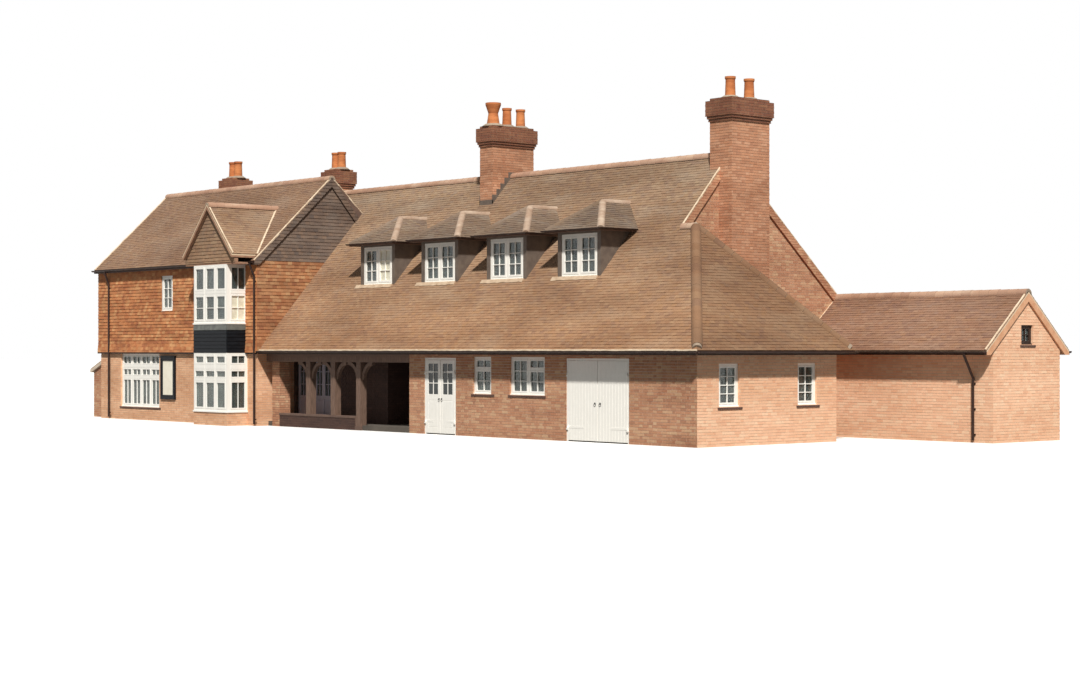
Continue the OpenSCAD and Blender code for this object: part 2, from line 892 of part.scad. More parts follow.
module porch_plan() {
    rect(wx1, porch_y, lobby_x, porch_y + wall_t);
    rect(lobby_x - wall_t, porch_y, lobby_x, lobby_y + wall_t);
    rect(lobby_x - wall_t, lobby_y, porch_x + wall_t, lobby_y + wall_t);
    rect(porch_x, yf + wall_t, porch_x + wall_t, lobby_y + wall_t);
}

module porch_walls() color("#a8694f") difference() {
    intersection() {
        linear_extrude(attic_under) porch_plan();
        main_under_long();
    }
    block([screen_x - screen_w / 2, porch_y - slack, slab_t],
        [screen_x + screen_w / 2, porch_y + wall_t + slack, screen_h + slab_t]);
    block([entrance_x - entrance_w / 2, lobby_y - slack, slab_t],
        [entrance_x + entrance_w / 2, lobby_y + wall_t + slack, entrance_h + slab_t]);
}

entrance_x = (lobby_x + porch_x) / 2;

post_xs = [for (i = [0:2]) lobby_x - post_w / 2 - i * post_step];
post_y = yf + post_in;

// Oak posts with their braces, and the beam that they carry along the eaves
module porch_frame() color("#5a4433") {
    intersection() {
        block([wx1, yf, beam_under], [porch_x, yf + beam_t, ridge_h]);
        main_under_long();
    }
    for (x = post_xs) {
        foot = x == post_xs[0] ? pad_h : dwarf_h;
        block([x - post_w / 2, post_y, foot], [x + post_w / 2, post_y + post_w, beam_under]);
        for (side = [-1, 1]) {
            brace(x + side * post_w / 2, side);
        }
    }
}

// A curved knee brace between a post and the beam
module brace(x, side) {
    y0 = post_y + (post_w - brace_t) / 2;
    translate([x, 0, beam_under]) mirror([side < 0 ? 1 : 0, 0, 0]) along_y(y0, y0 + brace_t) intersection() {
        translate([0, -brace_r]) square(brace_r);
        translate([brace_r, -brace_r]) difference() {
            circle(r = brace_r + brace_over);
            circle(r = brace_r - brace_in);
        }
    }
}

module porch_dwarf_wall() color("#a8694f") {
    x0 = pier_x + pier_w;
    x1 = post_xs[0] - post_w / 2 - pad_out;
    block([pier_x, yf, 0], [x0, yf + pier_w, beam_under]);
    block([x0, dwarf_y, 0], [x1, dwarf_y + dwarf_t, dwarf_h]);
    block([x0, dwarf_y - coping_out, dwarf_h - coping_h], [x1, dwarf_y + dwarf_t + coping_out, dwarf_h]);
    block([x1, yf, 0], [post_xs[0] + post_w / 2 + pad_out, post_y + post_w + pad_out, pad_h]);
}

module screen_face() {
    frame_face(screen_w, screen_h, 4, screen_panel_h);
}

module porch_screen() color("#8f8a93") translate([screen_x, porch_y + reveal, slab_t]) {
    along_y(0, frame_d) screen_face();
    along_y((frame_d - panel_t) / 2, (frame_d + panel_t) / 2)
        translate([-screen_w / 2, 0]) square([screen_w, screen_panel_h]);
}

module entrance_door() color("#4a3a2e") translate([entrance_x, lobby_y + reveal, slab_t]) {
    along_y(0, frame_d) frame_face(entrance_w, entrance_h, 1, 0);
    along_y((frame_d - leaf_t) / 2, (frame_d + leaf_t) / 2)
        translate([-entrance_w / 2, 0]) square([entrance_w, entrance_h]);
}

// Doorways with a pair of leaves that open outwards
door_in = 10;
door_foot = 30;
eye_wall = 10;
eye_gap = 6;
meet_gap = 18;
strap_t = 8;
strap_h = 60;
strap_share = 0.55;
pin_fit = 0.05;
rest_h = 39;
rest_gap = 3;
rest_w = 40;
hinge_up = 350;
hinge_out = pin_d / 2 + eye_wall + eye_gap;
hinge_y = yf + door_in - hinge_out;
eye_r = pin_d / 2 + eye_wall;

function leaf_w(w) = (w - 2 * frame_w - 2 * leaf_gap - meet_gap) / 2;
function leaf_h(h) = h - frame_w - leaf_gap - door_foot;
function hinge_x(x, w, side) = x + side * (w / 2 - frame_w - leaf_gap / 2);
function hinge_heights(h) = [door_foot + hinge_up, h - frame_w - hinge_up];

// A frame with the pins that its leaves hang on, each in a rest fixed to the jamb
module pair_frame(x, w, h) {
    translate([x, yf + door_in, 0]) along_y(0, frame_d) difference() {
        translate([-w / 2, 0]) square([w, h]);
        translate([frame_w - w / 2, -slack]) square([w - 2 * frame_w, h - frame_w + slack]);
    }
    for (side = [-1, 1]) {
        for (z = hinge_heights(h)) {
            hinge_rest(hinge_x(x, w, side), z - strap_h / 2 - rest_gap, side);
        }
    }
}

module hinge_rest(x, z, side) {
    half = pin_d / 2 + 2;
    translate([x, hinge_y, z - rest_h]) {
        cylinder(h = rest_h + rest_gap + strap_h, d = pin_d);
        mirror([side < 0 ? 0 : 1, 0, 0]) {
            translate([-rest_w, -half, 0]) cube([rest_w + half, 2 * half, rest_h]);
            translate([-rest_w, 0, 0]) cube([rest_w - leaf_gap / 2 - slack, hinge_out, rest_h]);
        }
    }
}

// The eyes that turn on the pins, with their straps along the leaf
module hinge_eyes(x, w, h, side) {
    px = hinge_x(x, w, side);
    for (z = hinge_heights(h)) {
        z0 = z - strap_h / 2;
        z1 = z + strap_h / 2;
        difference() {
            union() {
                translate([px, hinge_y, z0]) cylinder(h = strap_h, r = eye_r);
                mirror_x(px, side) {
                    block([px, hinge_y + hinge_out - strap_t, z0],
                        [px + strap_share * leaf_w(w), hinge_y + hinge_out, z1]);
                    block([px, hinge_y, z0], [px + eye_r, hinge_y + hinge_out, z1]);
                }
            }
            translate([px, hinge_y, z - strap_h]) cylinder(h = 2 * strap_h, d = pin_d + 2 * pin_fit);
        }
    }
}

// Turns a shape drawn on the left leaf into the right leaf's
module mirror_x(x, side) {
    translate([x, 0, 0]) mirror([side < 0 ? 0 : 1, 0, 0]) translate([-x, 0, 0]) children();
}

module boarded_leaf(x, w, h, side) {
    edge = x + side * (w / 2 - frame_w - leaf_gap);
    hinge_eyes(x, w, h, side);
    mirror_x(edge, side) block([edge, yf + door_in, door_foot],
        [edge + leaf_w(w), yf + door_in + leaf_t, door_foot + leaf_h(h)]);
}

stile_w = 100;
panel_top_h = 1050;

// A leaf whose upper part is thinned on both faces to one pane
module glazed_leaf(x, w, h, side) {
    mid = x + side * (w / 2 - frame_w - leaf_gap - leaf_w(w) / 2);
    x0 = mid - leaf_w(w) / 2 + stile_w;
    x1 = mid + leaf_w(w) / 2 - stile_w;
    z0 = panel_top_h + stile_w;
    z1 = leaf_h(h) + door_foot - stile_w;
    y0 = yf + door_in;
    difference() {
        boarded_leaf(x, w, h, side);
        block([x0, y0 - slack, z0], [x1, y0 + (leaf_t - glass_t) / 2, z1]);
        block([x0, y0 + (leaf_t + glass_t) / 2, z0], [x1, y0 + leaf_t + slack, z1]);
    }
}

module door_frames() color("white") {
    pair_frame(garage_x, garage_w, garage_h);
    pair_frame(side_door_x, side_door_w, side_door_h);
}

module garage_door_left() color("white") boarded_leaf(garage_x, garage_w, garage_h, -1);

module garage_door_right() color("white") boarded_leaf(garage_x, garage_w, garage_h, 1);

module side_door_left() color("white") glazed_leaf(side_door_x, side_door_w, side_door_h, -1);

module side_door_right() color("white") glazed_leaf(side_door_x, side_door_w, side_door_h, 1);

module upper_windows() color("white") frames(upper_lists);

module ground_windows() color("white") frames(ground_lists);

module window_glass() color("#39454d") {
    panes(upper_lists);
    panes(ground_lists);
    bay_panes(bay_plinth_h, bay_head_h, lower_transom);
    bay_panes(bay_sill_h, bay_top_h, upper_transom);
    translate([screen_x, porch_y + reveal, slab_t])
        along_y((frame_d - glass_t) / 2, (frame_d + glass_t) / 2) difference() {
            translate([-screen_w / 2, screen_panel_h]) square([screen_w, screen_h - screen_panel_h]);
            screen_face();
        }
}

// Chimneys
pot_r = 150;
pot_wall = 45;
pot_neck = 20;
pot_rim_h = 60;
pot_rim_foot = 90;
big_foot_out = 60;
big_waist_share = 0.55;
big_rim_out = 90;
bands = 3;

// Flue places: three in a stack more than twice as deep as wide, otherwise two
function flue_count(s) = s[3] > 2 * s[2] ? 3 : 2;
function flue_step(s) = max(s[2], s[3]) / flue_count(s);
function flue_at(s, d) = s[3] > s[2] ? [s[0], s[1] + d, s[4]] : [s[0] + d, s[1], s[4]];
function flue_spots(s) = [for (i = [0:flue_count(s) - 1])
    flue_at(s, (i - (flue_count(s) - 1) / 2) * flue_step(s))];

// A block of a stack's own plan, widened all round
module stack_band(s, out, z0, z1) {
    half_x = s[2] / 2 + out;
    half_y = s[3] / 2 + out;
    block([s[0] - half_x, s[1] - half_y, z0], [s[0] + half_x, s[1] + half_y, z1]);
}

module flues(s) {
    for (p = flue_spots(s)) {
        translate([p[0], p[1], flue_foot_h]) cylinder(h = s[4], d = flue);
    }
}

module chimney_stacks() color("#a55a3e") {
    for (s = stacks) {
        difference() {
            stack_band(s, 0, 0, s[4] - cap_h);
            flues(s);
        }
    }
}

// Caps of oversailing courses
module chimney_caps() color("#8f4c36") {
    for (s = stacks) {
        cap_z = s[4] - cap_h;
        difference() {
            union() {
                stack_band(s, 0, cap_z, s[4]);
                for (i = [1:bands]) {
                    stack_band(s, cap_out * i / bands, cap_z + (i - 1) * course_h, s[4] - course_h);
                }
            }
            flues(s);
        }
    }
}

module plain_pot() {
    inner = pot_r - pot_wall;
    rotate_extrude() polygon([[inner, 0], [pot_r, 0], [pot_r - pot_neck, pot_h - pot_rim_foot],
        [pot_r, pot_h - pot_rim_h], [pot_r, pot_h], [inner, pot_h]]);
}

module flared_pot() {
    inner = pot_r - pot_wall;
    waist_h = big_pot_h * big_waist_share;
    rim = pot_r + big_rim_out;
    rotate_extrude() polygon([[inner, 0], [pot_r + big_foot_out, 0], [pot_r, waist_h],
        [rim, big_pot_h - pot_rim_h], [rim, big_pot_h], [rim - pot_rim_h, big_pot_h], [inner, waist_h]]);
}

module chimney_pots() color("#c7733f") {
    for (s = stacks) {
        for (p = flue_spots(s)) {
            translate(p) {
                if (p == flue_spots(middle_stack)[0]) {
                    flared_pot();
                } else {
                    plain_pot();
                }
            }
        }
    }
}

// Round tiles along the ridges and hips
tile_drop = ridge_tile_r * 0.5;
small_tile_r = ridge_tile_r * 0.75;
small_drop = small_tile_r * 0.5;
hip_foot = 180;
hip_less = 8;
mitre = 300;

// A tile run along x or along y, drawn as a round less the roof's own section
module ridge_x(x0, x1, y, z) {
    along_x(x0, x1) difference() {
        translate([y, z - tile_drop]) circle(r = ridge_tile_r);
        children();
    }
}

module ridge_y(y0, y1, x, z) {
    along_y(y0, y1) difference() {
        translate([x, z - small_drop]) circle(r = small_tile_r);
        children();
    }
}

// A tile run up a hip, which starts a little above the eaves' corner
module hip(foot, top, r) {
    rod(foot + (top - foot) * hip_foot / norm(top - foot), top, r);
}

module ridge_and_hip_tiles() color("#c2a184") {
    difference() {
        union() {
            ridge_x(xl - verge_out, xr + verge_out, yr, ridge_h) main_section(0);
            ridge_x(wx0 - wing_verge, wx1 + wing_verge, wyr, wing_ridge_h) wing_section(0);
        }
        shafts();
    }
    ridge_x(xr + verge_out, rear_x + verge_out, rear_ridge_y, rear_ridge_h) rear_section(0);
    ridge_x(xr + verge_out, ext_top_x, ext_ridge_y, ext_ridge_h) ext_section(0);
    ext_hip(ye);
    ext_hip(ext_eave_y);
    difference() {
        ridge_y(bay_y - bay_front_out, wyr, bay_x, bay_ridge_h) bay_section(0);
        wing_space();
    }
    for (x = dormer_xs) {
        dormer_tiles(x);
    }
}

// A hip of the extension, mitred against the ridge and the other hip
module ext_hip(foot_y) {
    foot = [ext_eave_x, foot_y, eaves_h - tile_drop];
    top = [ext_top_x, ext_ridge_y, ext_ridge_h - tile_drop];
    y0 = foot_y < ext_ridge_y ? ext_ridge_y - ext_span : ext_ridge_y;
    difference() {
        intersection() {
            hip(foot, top + (top - foot) * mitre / norm(top - foot), ridge_tile_r - hip_less);
            block([ext_top_x, y0, 0], [ext_top_x + ext_span, y0 + ext_span, ridge_h]);
        }
        ext_space(0);
    }
}

module dormer_tiles(x) {
    y0 = dormer_y - dormer_eaves_out;
    difference() {
        union() {
            ridge_y(y0 + dormer_half, yr, x, dormer_ridge_h) dormer_section(x, 0);
            for (side = [-1, 1]) {
                hip([x + side * dormer_half, y0, dormer_eaves_h - small_drop],
                    [x, y0 + dormer_half, dormer_ridge_h - small_drop], small_tile_r - hip_less);
            }
        }
        dormer_cover(x, 0);
        main_space(0);
    }
}

// Fascia boards and gutters
board_t = 20;
lip = 10;
gutter_wall = 5;
gutter_back_h = 30;
low_z = eaves_h - lip;
wing_z = wing_eaves_h - lip;

// Eaves that run along x: [x0, x1, y of the roof's edge, side that it faces, height]
eaves_x = [[wx1 + hanging_t, ext_eave_x + board_t, ye, -1, low_z],
    [xr + verge_out, ext_eave_x + board_t, ext_eave_y, 1, low_z],
    [xr + verge_out, rear_x + verge_out, rear_eave_y, -1, low_z],
    [xl - verge_out, rear_x + verge_out, yre, 1, low_z],
    [wx0 - wing_verge, bay_roof_left, wy0 - wing_eaves_out, -1, wing_z],
    [bay_roof_right, wx1 + wing_verge, wy0 - wing_eaves_out, -1, wing_z],
    [wx0 - wing_verge, xl - verge_out, wy1 + wing_eaves_out, 1, wing_z]];

module fascia_boards() color("#d8cdb8") {
    for (e = eaves_x) {
        y0 = e[3] < 0 ? e[2] - board_t : e[2];
        block([e[0], y0, e[4] + lip - soffit_drop], [e[1], y0 + board_t, e[4]]);
    }
    block([ext_eave_x, ye, eaves_h - soffit_drop], [ext_eave_x + board_t, ext_eave_y, low_z]);
}

// A gutter's section, with the board on its right
module gutter_section() {
    translate([-gutter_d / 2, 0]) intersection() {
        difference() {
            circle(d = gutter_d);
            circle(d = gutter_d - 2 * gutter_wall);
        }
        translate([-gutter_d, -gutter_d]) square([2 * gutter_d, gutter_d]);
    }
    translate([-gutter_wall, -gutter_back_h]) square([gutter_wall, gutter_back_h]);
}

module gutter_x(x0, x1, y, side, z) {
    along_x(x0, x1) translate([y, z]) mirror([side > 0 ? 1 : 0, 0]) gutter_section();
}

// A downpipe: x, the eave it serves and the wall's face
module downpipe(x, e, wall_y) {
    dir = e[3];
    r = downpipe_d / 2;
    gy = e[2] + dir * (board_t + gutter_d / 2);
    py = wall_y + dir * (r + pipe_gap);
    clip_y = wall_y + dir * clip_out;
    z0 = e[4] - gutter_d / 2 + gutter_wall - lip;
    z1 = z0 - abs(gy - py) - neck_h;
    rod([x, gy, z0], [x, gy, z0 - neck_h / 4], r);
    rod([x, gy, z0 - neck_h / 5], [x, py, z1], r);
    rod([x, py, z1 + lip], [x, py, pipe_foot], r);
    for (z = [z1 - clip_down, (z1 + pipe_foot) / 2, pipe_foot + clip_down]) {
        block([x - clip_w / 2, min(wall_y, clip_y), z - clip_h / 2],
            [x + clip_w / 2, max(wall_y, clip_y), z + clip_h / 2]);
    }
}

pipe_gap = 15;
pipe_foot = 60;
neck_h = 260;
clip_out = 30;
clip_w = 120;
clip_h = 40;
clip_down = 150;

// Downpipes: [x, number of the eave, face of the wall]
wing_pipe_in = 750;
corner_pipe_in = 15;
wing_rear_pipe_in = 3200;
rear_pipe_in = 500;
gable_pipe_in = 100;
range_pipe_in = 600;
pipes = [
    [wx0 + wing_pipe_in, 4, wy0 - hanging_t],
    [wx1 - corner_pipe_in, 5, wy0 - hanging_t],
    [wx0 + wing_rear_pipe_in, 6, wy1 + hanging_t],
    [xl + rear_pipe_in, 3, yb],
    [xr - gable_pipe_in, 3, yb],
    [rear_x - range_pipe_in, 2, rear_y],
    [ext_x - rear_pipe_in, 1, ext_y]];

module gutters_and_downpipes() color("#3a2a26") {
    for (e = eaves_x) {
        gutter_x(e[0], e[1], e[2] + e[3] * board_t, e[3], e[4]);
    }
    along_y(ye - board_t, ext_eave_y + board_t)
        translate([ext_eave_x + board_t, low_z]) mirror([1, 0]) gutter_section();
    for (p = pipes) {
        downpipe(p[0], eaves_x[p[1]], p[2]);
    }
}

// A glazed notice case on the wing's front, with a bare panel
board_x = wx0 + board_at;
case_d = 60;
case_rim = 70;

module notice_board() color("#1f2022") translate([board_x, wy0 - case_d, board_sill]) {
    along_y(0, case_d) difference() {
        translate([-board_w / 2, 0]) square([board_w, board_h]);
        translate([case_rim - board_w / 2, case_rim])
            square([board_w - 2 * case_rim, board_h - 2 * case_rim]);
    }
    along_y(case_d / 2, case_d) translate([-board_w / 2, 0]) square([board_w, board_h]);
}

// A small lean-to store against the wing's left wall
store_x = wx0 - store_w;
store_y = wy0 + store_back;
store_wall = 215;
store_out = 150;
store_verge = 80;
store_edge = 90;
store_tan = (store_top - store_low) / (store_w + store_out);

module store_section(t) {
    x0 = store_x - store_out;
    d = plumb(t, store_tan);
    polygon([[x0, 0], [x0, store_low - d], [wx0, store_top - d], [wx0, 0]]);
}

module lean_to_store() color("#a8694f") {
    difference() {
        intersection() {
            block([store_x, store_y, 0], [wx0, store_y + store_d, store_top]);
            along_y(-far, far) store_section(light_roof_t);
        }
        block([store_x + store_wall, store_y + store_wall, -slack],
            [wx0 + slack, store_y + store_d - store_wall, store_top]);
    }
    along_y(store_y - store_verge, store_y + store_d + store_verge) above(store_low - store_edge)
    difference() {
        store_section(0);
        store_section(light_roof_t);
    }
}

// Floors
module rect(x0, y0, x1, y1) {
    translate([x0, y0]) square([x1 - x0, y1 - y0]);
}

module stack_plan() {
    for (s = stacks) {
        rect(s[0] - s[2] / 2, s[1] - s[3] / 2, s[0] + s[2] / 2, s[1] + s[3] / 2);
    }
}

// The floor in a doorway, which stops short of the leaves and of the frame's jambs
module doorway_floor(x, w) {
    jamb_y = yf + door_in + frame_d;
    rect(x - w / 2 + frame_w, yf + door_in + leaf_t + leaf_gap, x + w / 2 - frame_w, jamb_y + slack);
    rect(x - w / 2, jamb_y, x + w / 2, inner_y + slack);
}

inner_y = yf + wall_t;
kerb = 60;

module floor_plan() {
    dwarf_x = post_xs[0] - post_w / 2 - pad_out;
    rect(xl + wall_t, inner_y, xr - wall_t, yb - wall_t);
    rect(xr - wall_t - slack, inner_y, xr + slack, passage_y);
    rect(xr, inner_y, ext_x - wall_t, ext_y - wall_t);
    rect(xr, rear_y + wall_t, rear_x - wall_t, yb - wall_t);
    rect(wx0 + wall_t, wy0 + wall_t, wx1 - wall_t, wy1 - wall_t);
    rect(store_x + store_wall, store_y + store_wall, wx0, store_y + store_d - store_wall);
    doorway_floor(garage_x, garage_w);
    doorway_floor(side_door_x, side_door_w);
    rect(wx1, yf + kerb, pier_x, inner_y + slack);
    rect(pier_x + pier_w, dwarf_y + dwarf_t, dwarf_x, inner_y + slack);
    rect(lobby_x + pad_out, yf + kerb, porch_x, inner_y + slack);
}

module ground_floor() color("#9a948a") linear_extrude(slab_t) difference() {
    floor_plan();
    difference() {
        rect(wx0, wy0, wx1, wy1);
        rect(wx0 + wall_t, wy0 + wall_t, wx1 - wall_t, wy1 - wall_t);
    }
    rect(pier_x, yf, pier_x + pier_w, yf + pier_w);
    porch_plan();
    stack_plan();
}

module upper_floors() color("#9a8568") {
    difference() {
        intersection() {
            block([xl + wall_t, yf + wall_t, attic_under], [xr - wall_t, yb - wall_t, attic_floor_h]);
            main_under_long();
        }
        block([wx0, wy0, 0], [wx1, wy1, wing_ridge_h]);
        shafts();
    }
    difference() {
        block([wx0 + wall_t, wy0 + wall_t, wing_floor_h - floor_t],
            [wx1 - wall_t, wy1 - wall_t, wing_floor_h]);
        shafts();
    }
}

ground_floor();
upper_floors();
front_wall();
door_lintels();
rear_wall();
gable_walls();
end_walls();
yard_walls();
main_roof_front();
main_roof_rear();
extension_roof();
rear_range_roof();
wing_front_wall();
wing_rear_wall();
wing_gable_walls();
wing_tile_hanging();
wing_roof_front();
wing_roof_rear();
bay_plinth();
bay_panel();
bay_windows();
bay_roof();
porch_walls();
porch_frame();
porch_dwarf_wall();
porch_screen();
entrance_door();
dormer_walls();
dormer_roofs();
upper_windows();
ground_windows();
window_glass();
door_frames();
garage_door_left();
garage_door_right();
side_door_left();
side_door_right();
chimney_stacks();
chimney_caps();
chimney_pots();
ridge_and_hip_tiles();
fascia_boards();
gutters_and_downpipes();
notice_board();
lean_to_store();
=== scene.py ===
"""Dresses a village inn of brick and tile over its solids: bricks, tiles, joinery, lead and finishes."""

import json
import math
import random

import bmesh
import bpy
from mathutils import Matrix, Vector

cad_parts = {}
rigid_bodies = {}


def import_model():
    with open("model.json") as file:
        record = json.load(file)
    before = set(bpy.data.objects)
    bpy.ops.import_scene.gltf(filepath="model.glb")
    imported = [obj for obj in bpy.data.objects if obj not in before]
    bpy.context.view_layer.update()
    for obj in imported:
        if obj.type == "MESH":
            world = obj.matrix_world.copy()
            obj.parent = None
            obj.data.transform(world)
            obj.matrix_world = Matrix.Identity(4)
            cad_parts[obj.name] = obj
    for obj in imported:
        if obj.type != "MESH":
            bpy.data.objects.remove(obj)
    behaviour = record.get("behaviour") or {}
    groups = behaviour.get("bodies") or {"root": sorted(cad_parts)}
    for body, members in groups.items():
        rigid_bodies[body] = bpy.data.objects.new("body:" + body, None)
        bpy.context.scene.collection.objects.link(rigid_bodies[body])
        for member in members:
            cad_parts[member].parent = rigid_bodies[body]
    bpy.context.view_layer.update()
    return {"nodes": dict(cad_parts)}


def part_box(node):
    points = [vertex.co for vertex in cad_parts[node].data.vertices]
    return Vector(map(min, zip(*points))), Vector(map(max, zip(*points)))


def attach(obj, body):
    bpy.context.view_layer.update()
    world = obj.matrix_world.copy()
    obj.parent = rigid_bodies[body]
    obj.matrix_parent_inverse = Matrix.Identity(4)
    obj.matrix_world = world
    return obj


bl_info = {
    "name": "Village inn dressing",
    "version": (1, 0, 0),
    "blender": (4, 5, 0),
    "location": "View3D > Sidebar > Inn",
    "description": "Lays bricks and tiles, fits joinery and leadwork and paints a tile-hung village inn",
    "category": "Object",
}

for left_over in list(bpy.data.objects):
    bpy.data.objects.remove(left_over)
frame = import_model()


def linear(code):
    """A linear colour from an sRGB hex value."""
    parts = [int(code[i:i + 2], 16) / 255 for i in (1, 3, 5)]
    return tuple(c / 12.92 if c <= 0.04045 else ((c + 0.055) / 1.055) ** 2.4 for c in parts)


def box(node):
    """The lowest and the highest corner of a solid."""
    low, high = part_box(node)
    return Vector(low), Vector(high)


def islands(node):
    """The box of each separate solid in a node, from left to right."""
    work = bmesh.new()
    work.from_mesh(frame["nodes"][node].data)
    bmesh.ops.remove_doubles(work, verts=work.verts, dist=1e-5)
    todo = set(work.verts)
    boxes = []
    while todo:
        stack = [todo.pop()]
        found = list(stack)
        while stack:
            for edge in stack.pop().link_edges:
                for point in edge.verts:
                    if point in todo:
                        todo.remove(point)
                        stack.append(point)
                        found.append(point)
        boxes.append(tuple(Vector(f(p.co[i] for p in found) for i in range(3)) for f in (min, max)))
    work.free()
    return sorted(boxes, key=lambda b: (round(b[0].x, 3), b[0].y, b[0].z))


# Lines of the building, read from the solids
SOFFIT = 0.11
FRONT_LOW, FRONT_HIGH = box("main_roof_front")
REAR_LOW, REAR_HIGH = box("main_roof_rear")
EXT_LOW, EXT_HIGH = box("extension_roof")
RANGE_LOW, RANGE_HIGH = box("rear_range_roof")
WING_LOW, WING_HIGH = box("wing_roof_front")
WING_REAR_Y = box("wing_roof_rear")[1].y
BAY_LOW, BAY_HIGH = box("bay_roof")
HUNG_LOW, HUNG_HIGH = box("wing_tile_hanging")
WALL_LOW, WALL_HIGH = box("front_wall")
GABLE_LOW, GABLE_HIGH = box("gable_walls")
END_HIGH = box("end_walls")[1]
YARD_LOW, YARD_HIGH = box("yard_walls")
WING_WALL_LOW, WING_WALL_HIGH = box("wing_front_wall")
WING_BACK = box("wing_rear_wall")[1].y
STORE_LOW, STORE_HIGH = box("lean_to_store")
EAVES = FRONT_LOW.z + SOFFIT
WING_EAVES = WING_LOW.z + SOFFIT
FRONT_TAN = (FRONT_HIGH.z - EAVES) / (FRONT_HIGH.y - FRONT_LOW.y)
REAR_TAN = (REAR_HIGH.z - EAVES) / (REAR_HIGH.y - REAR_LOW.y)
WING_TAN = (WING_HIGH.z - WING_EAVES) / (WING_HIGH.y - WING_LOW.y)
RIDGE_Y = FRONT_HIGH.y
WING_RIDGE_Y = WING_HIGH.y
EXT_RIDGE_Y = (EXT_LOW.y + EXT_HIGH.y) / 2
RANGE_RIDGE_Y = (RANGE_LOW.y + RANGE_HIGH.y) / 2
HIP_X = EXT_HIGH.x - (EXT_HIGH.y - EXT_LOW.y) / 2
BAY_X = (BAY_LOW.x + BAY_HIGH.x) / 2
WALL_T = WALL_HIGH.y - WALL_LOW.y

# Sizes of the solids that their boxes don't give: how far below a roof's surface the brick ends, the
# thickness of a roof, the heights of the bay's and the store's low edges, and so on
UNDER = 0.27
SLAB = 0.2
BAY_EDGE = 5.47
BAY_VALLEY_Y = WING_LOW.y + (BAY_EDGE - WING_EAVES) / WING_TAN
DORMER_SLAB = 0.06
STORE_EDGE = 1.7
FRAME_W = 0.06
FRAME_D = 0.08
PIER_W = 0.4
DWARF_TOP = 0.36
DWARF_T = 0.215
CAP_H = 0.64
CAP_OUT = 0.09
COURSE = 0.075
DOOR_FACE = WALL_LOW.y + 0.01
POST_XS = (-1.5925, -2.9225, -4.2525)
PEG_Z = 1.93
POT_FOOT = 0.15
FLARED_FOOT = 0.21

# Joinery: the gap round a casement, backs and fronts measured out from a frame's face, the width up to
# which a window is the small one in the gable, the share of a light that its fanlight takes, the rail in
# the porch's screen over its foot, and the top strap of a side door under its head
CLEAR = 0.003
CASEMENT = (-0.034, 0.008)
TRANSOM = (-0.036, 0.006)
CREAM_SHEET = (-0.0349, -0.0342)
NARROW = 0.6
FANLIGHT = 0.31
SCREEN_RAIL = 0.74
STRAP_DROP = 0.345

# How far mortar lies above a roof's solid edge, and a distance beyond every edge of the building
BEDDING = 0.02
FAR = 99


# What a user would change

def tint(name, description, code):
    """A colour that the user can change."""
    return bpy.props.FloatVectorProperty(name=name, description=description, subtype="COLOR", size=3,
                                         min=0, max=1, default=linear(code))


def length(name, description, metres):
    """A length that the user can change."""
    return bpy.props.FloatProperty(name=name, description=description, unit="LENGTH", precision=4,
                                   min=0.002, max=1, default=metres)


class InnSizes(bpy.types.PropertyGroup):
    """Sizes of what is laid over the solids"""
    brick_length: length("Brick length", "Length of a stretcher's face", 0.215)
    brick_height: length("Brick height", "Height of a brick's face", 0.065)
    mortar_joint: length("Mortar joint", "Width of the joints between bricks", 0.010)
    tile_width: length("Tile width", "Width of a plain tile", 0.165)
    tile_gauge: length("Tile gauge", "How much of each roof tile shows down the slope", 0.100)
    tile_nose: length("Tile nose", "How far a tile's nose stands off the solid roof", 0.022)
    hung_gauge: length("Hung tile gauge", "How much of each hung tile shows", 0.110)
    ridge_tile_length: length("Ridge tile length", "Length of one ridge tile", 0.30)
    board_width: length("Board width", "Width of the boards in doors and panels", 0.110)
    glazing_bar: length("Glazing bar", "Width of the bars between panes", 0.022)


class InnColours(bpy.types.PropertyGroup):
    """Colours that the clay and the paint lean towards"""
    bricks: tint("Bricks", "Shade that the bricks lean towards", "#c48f6f")
    roof_tiles: tint("Roof tiles", "Shade that the roof tiles lean towards", "#b09072")
    hung_tiles: tint("Hung tiles", "Shade that the hung tiles lean towards", "#c78453")
    joinery: tint("Joinery", "Shade that the white paint leans towards", "#f8f5ee")


# Shapes

def plane(origin, along, above):
    """A matrix whose x runs along an edge of a surface, y up the surface and z out of it."""
    u = (Vector(along) - Vector(origin)).normalized()
    n = u.cross(Vector(above) - Vector(origin)).normalized()
    place = Matrix((u, n.cross(u), n)).transposed().to_4x4()
    place.translation = Vector(origin)
    return place


def wall(x0, y0, x1, y1):
    """The plane of an upright wall, seen from outside, from its left end to its right end."""
    return plane((x0, y0, 0), (x1, y1, 0), (x0, y0, 1))


def flat(place, points):
    """Points of the building as places on a surface."""
    back = place.inverted()
    return [(back @ Vector(p)).xy for p in points]


def clip(outline, cutter):
    """The part of an outline inside a convex one that is drawn anticlockwise."""
    for i in range(len(cutter)):
        a, b = cutter[i - 1], cutter[i]
        dx, dy = b[0] - a[0], b[1] - a[1]
        sides = [dx * (p[1] - a[1]) - dy * (p[0] - a[0]) for p in outline]
        kept = []
        for j, p in enumerate(outline):
            q, sp, sq = outline[j - 1], sides[j], sides[j - 1]
            if (sp >= 0) != (sq >= 0):
                t = sq / (sq - sp)
                kept.append((q[0] + t * (p[0] - q[0]), q[1] + t * (p[1] - q[1])))
            if sp >= 0:
                kept.append((p[0], p[1]))
        outline = kept
        if len(outline) < 3:
            return []
    return outline


def anticlockwise(outline):
    """An outline in the order in which its face looks out of the surface."""
    area = sum(a[0] * b[1] - b[0] * a[1] for a, b in zip(outline, outline[1:] + outline[:1]))
    return outline if area > 0 else outline[::-1]


def oblong(x0, y0, x1, y1):
    """The corners of a rectangle, from one corner to the opposite one and back."""
    return [(x0, y0), (x1, y0), (x1, y1), (x0, y1)]


